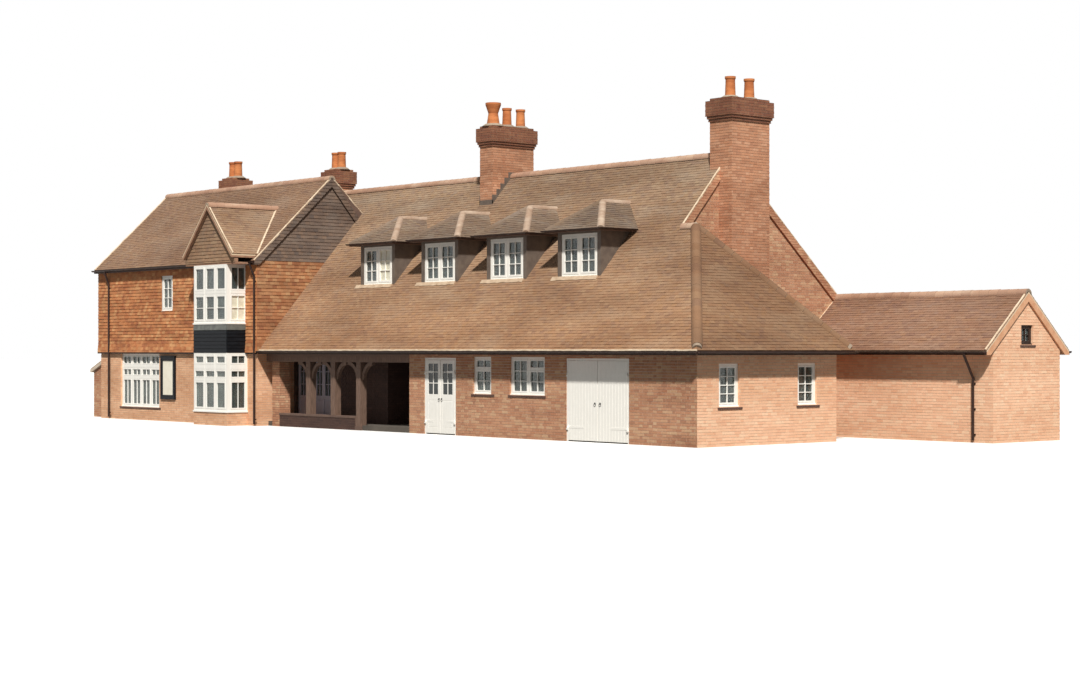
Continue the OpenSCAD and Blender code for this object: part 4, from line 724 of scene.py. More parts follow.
class INN_OT_roof_tiles(bpy.types.Operator):
    """Lays plain tiles over every slope of the roofs"""
    bl_idname = "inn.roof_tiles"
    bl_label = "Roof tiles"

    def execute(self, context):
        sizes = context.scene.inn_sizes
        kit = tile_kit(sizes, sizes.tile_gauge)
        shafts = islands("chimney_stacks")

        def tile(form, corners, outlines, seed, holes=()):
            """Tiles the slope through three corners. Outlines are its parts, as drawn in plan."""
            form.place = plane(*corners)
            cuts = [plan_hole(form.place, *b, 0.012) for b in shafts] + list(holes)
            for number, outline in enumerate(outlines):
                lay(form, over(form.place, outline), kit, cuts, seed + number)

        left, right = FRONT_LOW.x, FRONT_HIGH.x
        wing_side = HUNG_HIGH.x
        valley = (WING_HIGH.z - FRONT_HIGH.z + WING_RIDGE_Y * WING_TAN + RIDGE_Y * FRONT_TAN) / (
            FRONT_TAN + WING_TAN)

        form = Form()
        front = ((left, FRONT_LOW.y, EAVES), (right, FRONT_LOW.y, EAVES), (left, RIDGE_Y, FRONT_HIGH.z))
        tile(form, front,
             [oblong(wing_side, FRONT_LOW.y, right, RIDGE_Y),
              [(right, EXT_LOW.y), (EXT_HIGH.x, EXT_LOW.y), (HIP_X, EXT_RIDGE_Y), (right, EXT_RIDGE_Y)],
              oblong(left, valley, wing_side, RIDGE_Y)],
             11, [plan_hole(plane(*front), *b) for b in islands("dormer_walls")])
        form.piece("main_front_tiles", "roof_tile", "roof_tile")

        form = Form()
        tile(form, ((RANGE_HIGH.x, REAR_HIGH.y, EAVES), (left, REAR_HIGH.y, EAVES),
                    (left, RIDGE_Y, REAR_HIGH.z)),
             [oblong(left, REAR_HIGH.y, right, RIDGE_Y),
              oblong(right, RANGE_HIGH.y, RANGE_HIGH.x, RANGE_RIDGE_Y)], 21)
        form.piece("main_rear_tiles", "roof_tile", "roof_tile")

        form = Form()
        hip_top = (HIP_X, EXT_RIDGE_Y, EXT_HIGH.z)
        tile(form, ((EXT_HIGH.x, EXT_LOW.y, EAVES), (EXT_HIGH.x, EXT_HIGH.y, EAVES), hip_top),
             [[(EXT_HIGH.x, EXT_LOW.y), (EXT_HIGH.x, EXT_HIGH.y), (HIP_X, EXT_RIDGE_Y)]], 31)
        tile(form, ((EXT_HIGH.x, EXT_HIGH.y, EAVES), (right, EXT_HIGH.y, EAVES), hip_top),
             [[(EXT_HIGH.x, EXT_HIGH.y), (right, EXT_HIGH.y), (right, EXT_RIDGE_Y), (HIP_X, EXT_RIDGE_Y)]],
             41)
        form.piece("extension_tiles", "hip_tile", "roof_tile")

        form = Form()
        tile(form, ((right, RANGE_LOW.y, EAVES), (RANGE_HIGH.x, RANGE_LOW.y, EAVES),
                    (right, RANGE_RIDGE_Y, RANGE_HIGH.z)),
             [oblong(right, RANGE_LOW.y, RANGE_HIGH.x, RANGE_RIDGE_Y)], 51)
        form.piece("range_tiles", "range_tile", "roof_tile")

        form = Form()
        wing = ((WING_LOW.x, WING_LOW.y, WING_EAVES), (WING_HIGH.x, WING_LOW.y, WING_EAVES),
                (WING_LOW.x, WING_RIDGE_Y, WING_HIGH.z))
        tile(form, wing, [oblong(WING_LOW.x, WING_LOW.y, WING_HIGH.x, WING_RIDGE_Y)], 61,
             [plan_hole(plane(*wing), (BAY_LOW.x, WING_LOW.y - 0.1), (BAY_HIGH.x, BAY_VALLEY_Y))])
        tile(form, ((WING_HIGH.x, WING_REAR_Y, WING_EAVES), (WING_LOW.x, WING_REAR_Y, WING_EAVES),
                    (WING_LOW.x, WING_RIDGE_Y, WING_HIGH.z)),
             [oblong(left, WING_REAR_Y, WING_LOW.x, WING_RIDGE_Y),
              oblong(WING_HIGH.x, valley, left, WING_RIDGE_Y)], 71)
        form.piece("wing_tiles", "wing_tile", "roof_tile")

        form = Form()
        for side, foot_x in ((1, BAY_HIGH.x), (-1, BAY_LOW.x)):
            ends = [BAY_LOW.y, BAY_VALLEY_Y][::side]
            tile(form, (*((foot_x, y, BAY_EDGE) for y in ends), (BAY_X, BAY_LOW.y, BAY_HIGH.z)),
                 [[(foot_x, BAY_LOW.y), (foot_x, BAY_VALLEY_Y), (BAY_X, BAY_HIGH.y), (BAY_X, BAY_LOW.y)]],
                 81 + side)
        form.piece("bay_tiles", "bay_tile", "roof_tile")

        form = Form()
        for number, (low, high) in enumerate(islands("dormer_roofs")):
            edge = low.z + DORMER_SLAB
            middle = (low.x + high.x) / 2
            hip_y = low.y + middle - low.x
            cheek_y = FRONT_LOW.y + (edge - EAVES) / FRONT_TAN
            peak = (middle, hip_y, high.z)
            tile(form, ((low.x, low.y, edge), (high.x, low.y, edge), peak),
                 [[(low.x, low.y), (high.x, low.y), (middle, hip_y)]], 100 + number)
            for side, foot_x in ((1, high.x), (-1, low.x)):
                ends = [low.y, cheek_y][::side]
                tile(form, (*((foot_x, y, edge) for y in ends), peak),
                     [[(foot_x, low.y), (foot_x, cheek_y), (middle, high.y), (middle, hip_y)]], 110 + number)
        # The dormers' tiles take the finish darkened as painted shade
        form.piece("dormer_tiles", "shaded_dormer_tile", "roof_tile")

        form = Form()
        low_x = STORE_LOW.x + 0.025
        tile(form, ((STORE_LOW.x, STORE_HIGH.y, STORE_EDGE), (STORE_LOW.x, STORE_LOW.y, STORE_EDGE),
                    (WING_WALL_LOW.x, STORE_LOW.y, STORE_HIGH.z)),
             [[(low_x, STORE_HIGH.y), (low_x, STORE_LOW.y), (WING_WALL_LOW.x, STORE_LOW.y),
               (WING_WALL_LOW.x, STORE_HIGH.y)]], 121)
        form.piece("store_tiles", "roof_tile", "roof_tile")
        return {"FINISHED"}


class INN_OT_bricks(bpy.types.Operator):
    """Lays the brickwork of every wall, pier, plinth and stack"""
    bl_idname = "inn.bricks"
    bl_label = "Brickwork"

    def execute(self, context):
        kit = brick_kit(context.scene.inn_sizes)
        frames = islands("ground_windows") + islands("door_frames")
        proud = kit["nose"]
        floor = box("ground_floor")[1].z
        soffit = EAVES - SOFFIT
        seed = iter(range(200, 400))

        def rect(form, x0, y0, x1, y1, z0, z1, filled=()):
            """A face from its left end to its right, round what fills holes in it. Fronts lap the ends."""
            form.place = wall(x0, y0, x1, y1)
            more = proud if y0 == y1 else 0
            run = abs(x1 - x0) + abs(y1 - y0)
            holes = near(form.place, frames) + [hole_in(form.place, *b) for b in filled]
            lay(form, oblong(-more, z0, run + more, z1), kit, holes, next(seed))

        def gable(form, x, side, points, ridge=(RIDGE_Y, FRONT_HIGH.z), feet=(FRONT_LOW.y, REAR_HIGH.y)):
            """Part of a face that looks along x, given as y and height. A roof cuts off what is above it."""
            form.place = wall(x, 0, x, side)
            section = [(feet[0], 0), (feet[1], 0), (feet[1], EAVES - UNDER), (ridge[0], ridge[1] - UNDER),
                       (feet[0], EAVES - UNDER)]
            turned = [anticlockwise([(side * y, z) for y, z in p]) for p in (points, section)]
            lay(form, clip(*turned), kit, near(form.place, frames), next(seed))

        def around(form, low, high, z0, z1, sides="frbl"):
            """The upright faces of a block that are named: front, right, back, left."""
            corners = {"f": (low.x, low.y, high.x, low.y), "r": (high.x, low.y, high.x, high.y),
                       "b": (high.x, high.y, low.x, high.y), "l": (low.x, high.y, low.x, low.y)}
            for side in sides:
                rect(form, *corners[side], z0, z1)

        porch_x, front_y, ext_x, range_x = WALL_LOW.x, WALL_LOW.y, WALL_HIGH.x, END_HIGH.x
        back_y, yard_y, range_y = END_HIGH.y, YARD_LOW.y + WALL_T, YARD_HIGH.y - WALL_T
        right, left = GABLE_HIGH.x, GABLE_LOW.x
        wing_left, wing_right, wing_y = WING_WALL_LOW.x, WING_WALL_HIGH.x, WING_WALL_LOW.y
        screen, door = box("porch_screen"), box("entrance_door")
        porch_y, lobby_y = screen[0].y - FRAME_W, door[0].y - FRAME_W
        lobby_x = door[0].x + door[1].x - porch_x
        porch_top = box("porch_walls")[1].z
        dwarf_low, dwarf_high = box("porch_dwarf_wall")
        # The dwarf wall runs between a pier and the post by the lobby, 5 mm behind the front
        pier_x, post_x, dwarf_y = dwarf_low.x + PIER_W, lobby_x - 0.27, front_y + 0.005
        plinth_low, plinth_high = box("bay_plinth")

        form = Form()
        rect(form, porch_x, front_y, ext_x, front_y, 0, soffit)
        around(form, Vector((dwarf_low.x, front_y, 0)), Vector((pier_x, dwarf_high.y, 0)), 0, dwarf_high.z)
        form.piece("front_bricks", "brick", "brick")

        # The porch's bricks take the near-black finish of painted shade
        form = Form()
        rect(form, pier_x, dwarf_y, post_x, dwarf_y, 0, DWARF_TOP)
        rect(form, wing_right, porch_y, lobby_x, porch_y, floor, porch_top, [screen])
        rect(form, lobby_x, porch_y, lobby_x, lobby_y, floor, porch_top)
        rect(form, lobby_x, lobby_y, porch_x, lobby_y, floor, porch_top, [door])
        gable(form, porch_x, -1, [(front_y, 0), (lobby_y, 0), (lobby_y, porch_top), (front_y, porch_top)])
        rect(form, post_x, dwarf_y + DWARF_T, pier_x, dwarf_y + DWARF_T, floor, DWARF_TOP)
        form.piece("porch_bricks", "porch_brick", "brick")

        form = Form()
        rect(form, ext_x, front_y, ext_x, yard_y, 0, soffit)
        rect(form, ext_x, yard_y, right, yard_y, 0, soffit)
        rect(form, right, range_y, range_x, range_y, 0, soffit)
        gable(form, range_x, 1, [(range_y, 0), (back_y, 0), (back_y, 4), (range_y, 4)],
              (RANGE_RIDGE_Y, RANGE_HIGH.z), (RANGE_LOW.y, RANGE_HIGH.y))
        form.piece("end_bricks", "pale_brick", "brick")

        form = Form()
        gable(form, right, 1, [(EXT_RIDGE_Y, EXT_HIGH.z), (EXT_HIGH.y, EAVES), (EXT_HIGH.y, 7), (RIDGE_Y, 8),
                               (EXT_RIDGE_Y, 6)])
        gable(form, right, 1, [(yard_y, 0), (range_y, 0), (range_y, EAVES), (yard_y, EAVES)])
        gable(form, right, 1, [(EXT_HIGH.y, EAVES), (RANGE_LOW.y, EAVES), (RANGE_RIDGE_Y, RANGE_HIGH.z),
                               (EXT_HIGH.y, 7)])
        # Over the wing's rear slope, from where it meets the front slope of the main roof
        valley = (-1.53, 6.9)
        gable(form, left, -1, [(WING_BACK, 0), (back_y, 0), (back_y, 3), (WING_BACK, 7)])
        gable(form, left, -1, [valley, (WING_BACK, WING_EAVES), (WING_BACK, 7), (RIDGE_Y, 8)])
        verge(form, FRONT_HIGH.x, 1, [(EXT_RIDGE_Y, EXT_HIGH.z), (RIDGE_Y, FRONT_HIGH.z),
                                      (RANGE_RIDGE_Y, RANGE_HIGH.z)], kit, 390)
        form.piece("gable_bricks", "brick", "brick")

        form = Form()
        rect(form, range_x, back_y, left, back_y, 0, soffit)
        form.piece("rear_bricks", "brick", "brick")

        form = Form()
        hung_z = HUNG_LOW.z
        # The store's walls stand back from the edges of its roof, and end 13 cm below its top
        past_end, past_side, thick = 0.15, 0.08, 0.13
        store_low = STORE_LOW + Vector((past_end, past_side, 0))
        store_high = STORE_HIGH - Vector((0, past_side, 0))
        bay_hole = (plinth_low, Vector((*plinth_high.xy, 3)))
        rect(form, wing_left, wing_y, wing_right, wing_y, 0, hung_z, [bay_hole])
        rect(form, wing_right, wing_y, wing_right, porch_y, 0, hung_z)
        rect(form, left, WING_BACK, wing_left, WING_BACK, 0, hung_z)
        rect(form, wing_left, WING_BACK, wing_left, wing_y, 0, hung_z, [(store_low, store_high)])
        around(form, plinth_low, plinth_high, 0, plinth_high.z, "frl")
        form.piece("wing_bricks", "dusty_brick", "brick")

        form = Form()
        depth, width = store_high.y - store_low.y, store_high.x - store_low.x
        lean = (STORE_HIGH.z - STORE_EDGE) / (STORE_HIGH.x - STORE_LOW.x)
        low_z, high_z = STORE_EDGE + lean * past_end - thick, STORE_HIGH.z - thick
        for place, outline in (
                (wall(store_low.x, store_high.y, store_low.x, store_low.y), oblong(0, 0, depth, low_z)),
                (wall(store_low.x, store_low.y, store_high.x, store_low.y),
                 [(-proud, 0), (width, 0), (width, high_z), (-proud, low_z)]),
                (wall(store_high.x, store_high.y, store_low.x, store_high.y),
                 [(0, 0), (width + proud, 0), (width + proud, low_z), (0, high_z)])):
            form.place = place
            lay(form, outline, kit, (), next(seed))
        form.piece("store_bricks", "brick", "brick")

        form, caps = Form(), Form()
        # Three stacks come out of a roof below these heights, the fourth stands on the ground
        for (low, high), foot in zip(islands("chimney_stacks"), (6.3, 6.9, 6.4, 0)):
            around(form, low, high, foot, high.z)
            top = high.z + CAP_H
            for z0, z1, out in [(high.z, high.z + COURSE, CAP_OUT / 3),
                                (high.z + COURSE, high.z + 2 * COURSE, 2 * CAP_OUT / 3),
                                (high.z + 2 * COURSE, top - COURSE, CAP_OUT), (top - COURSE, top, 0)]:
                more = Vector((out, out, 0))
                around(caps, low - more, high + more, z0, z1)
        form.piece("stack_bricks", "stack_brick", "stack_brick")
        caps.piece("cap_bricks", "cap_brick", "stack_brick")
        return {"FINISHED"}


def half_round(form, p, q, radius, drop, rng, piece_length):
    """Half-round tiles laid end to end along a ridge or hip, whose rounds have their axis below the line."""
    p, q = Vector(p), Vector(q)
    along = (q - p).normalized()
    side = along.cross(Vector((0, 0, 1))).normalized()
    up = side.cross(along)
    count = max(1, round((q - p).length / piece_length))
    step, gap = (q - p).length / count, 0.01
    for i in range(count):
        twist, lift = rng.uniform(-0.02, 0.02), rng.uniform(-0.003, 0.003)
        rings = []
        for t, grow in ((i * step + gap / 2, 0.0), ((i + 1) * step - gap / 2, 0.006)):
            middle = p + along * t - Vector((0, 0, drop)) + up * lift
            rings.append([middle + (side * math.cos(a) + up * math.sin(a)) * (radius + grow)
                          for a in (math.radians(-8 + 196 * k / 12) + twist for k in range(13))])
        form.sweep(rings)


def mortar_line(form, p, q, normal, rng, width=0.06, height=0.035):
    """A hand-laid bead of mortar along an edge, with a wandering thickness."""
    p, q, n = Vector(p), Vector(q), Vector(normal).normalized()
    side = (q - p).normalized().cross(n)
    count = max(2, round((q - p).length / 0.12))
    rings = []
    for i in range(count + 1):
        middle = p.lerp(q, i / count) + side * rng.uniform(-0.004, 0.004)
        out, up = side * (width / 2 * rng.uniform(0.85, 1.1)), n * (height * rng.uniform(0.8, 1.1))
        rings.append([middle - out - n * 0.02, middle + out - n * 0.02, middle + out * 0.8 + up * 0.7,
                      middle + up, middle - out * 0.8 + up * 0.7])
    form.sweep(rings)


class INN_OT_hung_tiles(bpy.types.Operator):
    """Hangs tiles on the wing's upper storey and in the bay's gable"""
    bl_idname = "inn.hung_tiles"
    bl_label = "Hung tiles"

    def execute(self, context):
        sizes = context.scene.inn_sizes
        kit = dict(tile_kit(sizes, sizes.hung_gauge, 0.010), fall=0.14)
        high_kit = dict(kit, kick=0.0)
        frames = islands("upper_windows")
        foot, soffit = HUNG_LOW.z, WING_EAVES - SOFFIT
        split = round((WING_EAVES + 0.05) / kit["course"]) * kit["course"]
        front_y, rear_y, wing_left, wing_right = HUNG_LOW.y, HUNG_HIGH.y, HUNG_LOW.x, HUNG_HIGH.x
        gable_x = GABLE_LOW.x - 0.06
        bay = box("bay_windows")
        peak = WING_HIGH.z - UNDER
        shoulder = peak - (WING_RIDGE_Y - front_y) * WING_TAN

        def hang(form, place, outline, way, seed, holes=()):
            """Hangs tiles over an outline on a wall, in the way of a kit, round windows and holes."""
            form.place = place
            lay(form, outline, way, near(place, frames) + list(holes), seed)

        def below(outline, z):
            """The part of an outline under a height."""
            return clip(anticlockwise(outline), oblong(-FAR, 0, FAR, z))

        def above(outline, z):
            """The part of an outline over a height."""
            return clip(anticlockwise(outline), oblong(-FAR, z, FAR, FAR))

        form = Form()
        front = wall(wing_left, front_y, wing_right, front_y)
        hang(form, front, oblong(0, foot, wing_right - wing_left, soffit), kit, 301,
             [hole_in(front, (bay[0].x, front_y, 0), (bay[1].x, front_y + 0.1, soffit + 1))])
        hang(form, wall(gable_x, rear_y, wing_left, rear_y), oblong(0, foot, gable_x - wing_left, soffit),
             kit, 302)

        left = [(-y, z) for y, z in [(front_y, foot), (rear_y, foot), (rear_y, shoulder),
                                     (WING_RIDGE_Y, peak), (front_y, shoulder)]]
        turn_y = (peak - EAVES + FRONT_LOW.y * FRONT_TAN + WING_RIDGE_Y * WING_TAN) / (FRONT_TAN + WING_TAN)
        turn = (turn_y, EAVES + (turn_y - FRONT_LOW.y) * FRONT_TAN)
        right = [(front_y, foot), (FRONT_LOW.y, foot), turn, (WING_RIDGE_Y, peak), (front_y, shoulder)]
        left_wall, right_wall = wall(wing_left, 0, wing_left, -1), wall(wing_right, 0, wing_right, 1)
        hang(form, left_wall, below(left, split), kit, 303)
        form.piece("hung_tiles", "hung_tile", "hung_tile")
        # The tiles low on the wing's right side take the copy darkened as painted shade
        form = Form()
        hang(form, right_wall, below(right, split), kit, 304)
        form.piece("side_hung_tiles", "shaded_side_tile", "hung_tile")

        form = Form()
        hang(form, left_wall, above(left, split), high_kit, 305)
        hang(form, right_wall, above(right, split), high_kit, 306)
        slope = [(WING_LOW.y, WING_EAVES), (WING_RIDGE_Y, WING_HIGH.z)]
        verge(form, WING_LOW.x, -1, slope + [(WING_REAR_Y, WING_EAVES)], high_kit, 308, soffit)
        verge(form, WING_HIGH.x, 1, slope + [turn], high_kit, 310, soffit)
        form.piece("gable_hung_tiles", "gable_tile", "hung_tile")

        form = Form()
        half = (BAY_HIGH.x - BAY_LOW.x) / 2
        drop = 0.12 * math.hypot(1, (BAY_HIGH.z - BAY_EDGE) / half)
        base = bay[1].z + 0.06
        hang(form, wall(BAY_LOW.x, bay[0].y, BAY_HIGH.x, bay[0].y),
             [(0, base), (2 * half, base), (2 * half, BAY_EDGE - drop), (half, BAY_HIGH.z - drop),
              (0, BAY_EDGE - drop)], high_kit, 307)
        form.piece("bay_gable_tiles", "roof_tile", "hung_tile")

        form = Form()
        low, out, lap = foot - 0.045, 0.028, 0.02
        for x0, x1 in ((wing_left - out, bay[0].x), (bay[1].x, wing_right)):
            form.block((x0, front_y - out, low), (x1, front_y + lap, foot))
        form.block((wing_left - out, front_y - out, low), (wing_left + lap, rear_y + out, foot))
        form.block((wing_left, rear_y - lap, low), (gable_x, rear_y + out, foot))
        form.piece("tilting_fillets", "black_paint", "dark_boards", bevel=0.003)
        return {"FINISHED"}


class INN_OT_ridges(bpy.types.Operator):
    """Beds half-round tiles on ridges and hips, and mortar along verges and valleys"""
    bl_idname = "inn.ridges"
    bl_label = "Ridges, hips and verges"

    def execute(self, context):
        rng = random.Random(5)
        piece_length = context.scene.inn_sizes.ridge_tile_length
        # Radius of the round, and how far its axis lies below the ridge
        wide, narrow = (0.137, 0.065), (0.1035, 0.049)
        stacks = islands("chimney_stacks")
        form, hips, pale, dull = Form(), Form(), Form(), Form()

        def run(p, q, size, into=None):
            """A ridge or hip from one point to another."""
            half_round(into or form, p, q, *size, rng, piece_length)

        ends = [FRONT_LOW.x]
        for low, high in stacks:
            if low.y < RIDGE_Y < high.y:
                ends += [low.x, high.x]
        ends = [x for x in ends if x < FRONT_HIGH.x - 0.4] + [stacks[-1][0].x]
        for x0, x1 in zip(ends[::2], ends[1::2]):
            if x1 - x0 > 0.2:
                run((x0, RIDGE_Y, FRONT_HIGH.z), (x1, RIDGE_Y, FRONT_HIGH.z), wide)
        run((WING_LOW.x, WING_RIDGE_Y, WING_HIGH.z), (WING_HIGH.x, WING_RIDGE_Y, WING_HIGH.z), wide)
        run((FRONT_HIGH.x, RANGE_RIDGE_Y, RANGE_HIGH.z),
            (RANGE_HIGH.x - 0.01, RANGE_RIDGE_Y, RANGE_HIGH.z), wide)
        run((FRONT_HIGH.x, EXT_RIDGE_Y, EXT_HIGH.z), (HIP_X, EXT_RIDGE_Y, EXT_HIGH.z), wide)
        for y in (EXT_LOW.y, EXT_HIGH.y):
            foot = Vector((EXT_HIGH.x, y, EAVES))
            top = Vector((HIP_X, EXT_RIDGE_Y, EXT_HIGH.z))
            run(foot.lerp(top, 0.05), top, wide, hips)
        run((BAY_X, BAY_LOW.y + 0.01, BAY_HIGH.z), (BAY_X, BAY_HIGH.y, BAY_HIGH.z), wide)
        for low, high in islands("dormer_roofs"):
            middle = (low.x + high.x) / 2
            peak = Vector((middle, low.y + middle - low.x, high.z))
            run(peak, (middle, high.y, high.z), narrow, pale)
            # Left-hand hips take the dormers' tile darkened as painted shade
            for x, into in ((low.x, dull), (high.x, pale)):
                run(Vector((x, low.y, low.z + DORMER_SLAB)).lerp(peak, 0.03), peak, narrow, into)
        form.piece("ridge_tiles", "ridge_tile", "ridge_tile")
        hips.piece("hip_tiles", "hip_tile", "ridge_tile")
        pale.piece("dormer_ridge_tiles", "pale_ridge", "ridge_tile")
        dull.piece("dormer_hip_tiles", "shaded_dormer_tile", "ridge_tile")

        form = Form()

        def verge_line(x, start, end, normal):
            """Mortar a little above a verge, from one place to another given as y and height."""
            mortar_line(form, (x, start[0], start[1] + BEDDING), (x, end[0], end[1] + BEDDING), normal, rng)

        inset = 0.03
        wing_up, wing_back = (0, -WING_TAN, 1), (0, WING_TAN, 1)
        wing_foot, wing_top = (WING_LOW.y, WING_EAVES), (WING_RIDGE_Y, WING_HIGH.z)
        for x in (WING_LOW.x + inset, WING_HIGH.x - inset):
            verge_line(x, wing_foot, wing_top, wing_up)
        valley_y = (WING_HIGH.z - EAVES + FRONT_LOW.y * FRONT_TAN + WING_RIDGE_Y * WING_TAN) / (
            FRONT_TAN + WING_TAN)
        valley_z = EAVES + (valley_y - FRONT_LOW.y) * FRONT_TAN
        verge_line(WING_HIGH.x - inset, wing_top, (valley_y, valley_z), wing_back)
        verge_line(WING_LOW.x + inset, wing_top, (WING_REAR_Y, WING_EAVES), wing_back)
        slope = BAY_HIGH.z - BAY_EDGE
        for x in (BAY_LOW.x, BAY_HIGH.x):
            out = (x - BAY_X) / abs(x - BAY_X)
            tilt = (out * slope, 0, abs(x - BAY_X))
            mortar_line(form, (BAY_X, BAY_LOW.y + 0.045, BAY_HIGH.z),
                        (x, BAY_LOW.y + 0.045, BAY_EDGE + BEDDING), tilt, rng)
            mortar_line(form, (BAY_X, BAY_HIGH.y, BAY_HIGH.z + BEDDING),
                        (x, BAY_VALLEY_Y, BAY_EDGE + BEDDING), (out * 0.4, -0.4, 1), rng, 0.10, 0.03)
        front_up, rear_up, yard_up = (0, -FRONT_TAN, 1), (0, REAR_TAN, 1), (0, -REAR_TAN, 1)
        main_top, range_top = (RIDGE_Y, FRONT_HIGH.z), (RANGE_RIDGE_Y, RANGE_HIGH.z)
        verge_line(FRONT_HIGH.x - inset, (EXT_RIDGE_Y, EXT_HIGH.z), main_top, front_up)
        verge_line(FRONT_HIGH.x - inset, main_top, range_top, rear_up)
        verge_line(FRONT_LOW.x + inset, main_top, (REAR_HIGH.y, EAVES), rear_up)
        for y, normal in ((RANGE_LOW.y, yard_up), (RANGE_HIGH.y, rear_up)):
            verge_line(RANGE_HIGH.x - 0.045, range_top, (y, EAVES), normal)
        form.piece("verge_mortar", "bedding", "ridge_tile")
        return {"FINISHED"}


def ring(form, x0, y0, x1, y1, width, depth):
    """A rectangular ring of stiles and rails."""
    form.bar(x0, y0, x0 + width, y1, depth)
    form.bar(x1 - width, y0, x1, y1, depth)
    form.bar(x0 + width, y0, x1 - width, y0 + width, depth)
    form.bar(x0 + width, y1 - width, x1 - width, y1, depth)


def panes(form, x0, y0, x1, y1, columns, rows, stile, bar):
    """A casement in one light of a frame: its stiles and rails, and bars in front of the glass."""
    x0, y0, x1, y1 = x0 + CLEAR, y0 + CLEAR, x1 - CLEAR, y1 - CLEAR
    back, front = CASEMENT
    ring(form, x0, y0, x1, y1, stile, (back, front))
    in_w, in_h = x1 - x0 - 2 * stile, y1 - y0 - 2 * stile
    for i in range(1, columns):
        x = x0 + stile + in_w * i / columns
        form.bar(x - bar / 2, y0 + stile, x + bar / 2, y1 - stile, (back, 0.0))
    for i in range(1, rows):
        y = y0 + stile + in_h * i / rows
        form.bar(x0 + stile, y - bar / 2, x1 - stile, y + bar / 2, (back, -0.001))


def facing(low, high):
    """The plane of a frame's outer face: frames that are thin along y look to the front or the rear."""
    if high.y - low.y < high.x - low.x:
        if low.y < -1:
            return wall(low.x, low.y, high.x, low.y), high.x - low.x
        return wall(high.x, high.y, low.x, high.y), high.x - low.x
    if low.x < 0:
        return wall(low.x, high.y, low.x, low.y), high.y - low.y
    return wall(high.x, low.y, high.x, high.y), high.y - low.y


class INN_OT_casements(bpy.types.Operator):
    """Fits casements, glazing bars and sills in the window frames"""
    bl_idname = "inn.casements"
    bl_label = "Casements and sills"

    def execute(self, context):
        bar, f = context.scene.inn_sizes.glazing_bar, FRAME_W
        white, tile, brown, cream_sheets = Form(), Form(), Form(), Form()
        rng = random.Random(8)

        def sill(place, width, foot, reveal=0.06):
            """A painted timber sill in the reveal, with plain tiles on edge below it."""
            for form in (white, tile, brown):
                form.place = place
            timber = white if width > NARROW else brown
            timber.bar(0, foot - 0.01, width, foot + 0.03, (-0.02, reveal - 0.02))
            # Tiles on edge below the sill, whose dark finish is painted shade
            x = -0.05
            while x < width + 0.04:
                out = reveal + 0.03 + rng.uniform(-0.003, 0.003)
                tile.bar(x, foot - 0.06 + rng.uniform(-0.002, 0.002), x + 0.107, foot - 0.01, (0.0, out))
                x += 0.112

        def under_fanlight(x0, x1, foot, top):
            """A casement of four panes under a fanlight of two."""
            fan = top - (top - foot) * FANLIGHT
            panes(white, x0, foot, x1, fan - 0.02, 2, 2, 0.045, bar)
            white.bar(x0, fan - 0.02, x1, fan + 0.02, (CASEMENT[0], 0.004))
            panes(white, x0, fan + 0.02, x1, top, 2, 1, 0.04, bar)

        def three_tiers(width, foot, height, top):
            """Four lights, each with two tiers of small panes over tall ones."""
            step = (width - f) / 4
            bar_z = foot + height * 0.74
            low_bar = bar_z - 0.33
            white.bar(f, bar_z, width - f, bar_z + 0.11, TRANSOM)
            white.bar(f, low_bar - 0.05, width - f, low_bar + 0.05, TRANSOM)
            for i in range(4):
                x0, x1 = i * step + f, (i + 1) * step
                for z0, z1, stile in ((foot + f, low_bar - 0.05, 0.05),
                                      (low_bar + 0.05, bar_z - f / 2, 0.035), (bar_z + 0.11, top, 0.035)):
                    panes(white, x0, z0, x1, z1, 2, 1, stile, bar)

        for low, high in islands("ground_windows"):
            place, width = facing(low, high)
            foot, height = low.z, high.z - low.z
            sill(place, width, foot)
            top = foot + height - f
            if width > 2:
                three_tiers(width, foot, height, top)
            elif width > 1:
                middle = (width - f) / 2
                panes(white, f, foot + f, middle, top, 2, 3, 0.045, bar)
                under_fanlight(middle + f, width - f, foot + f, top)
            elif height > width + 0.3:
                panes(white, f, foot + f, width - f, top, 2, 4, 0.045, bar)
            elif width > 0.7:
                under_fanlight(f, width - f, foot + f, top)
            else:
                ring(brown, 0.001, foot + 0.001, width - 0.001, top + f - 0.001, f, (0.0, 0.004))
                panes(brown, f, foot + f, width - f, top, 2, 2, 0.04, bar)
        dormers = 0
        for low, high in islands("upper_windows"):
            place, width = facing(low, high)
            foot, top = low.z, high.z - f
            white.place = cream_sheets.place = place
            if in_dormer(low):
                dormers += 1
                if dormers < 3:
                    # The right-hand light of the two dormers on the left
                    cream_sheets.bar((width + f) / 2 + 0.005, foot + f, width - f - 0.005, top, CREAM_SHEET)
            lights = 2 if width > 1 else 1
            step = (width - f) / lights
            for i in range(lights):
                panes(white, i * step + f, foot + f, (i + 1) * step, top, 2, 3, 0.06, bar)
            white.bar(0, foot - 0.03, width, foot + 0.012, (-0.02, 0.03))
        white.piece("casements", "white_paint", "white_joinery", bevel=0.004)
        cream_sheets.piece("dormer_curtains", "cream_pane", "window_glass")
        brown.piece("gable_casement", "fascia_paint", "dark_boards", bevel=0.003)
        tile.piece("sill_tiles", "sill_tile", "roof_tile", bevel=0.003)
        return {"FINISHED"}


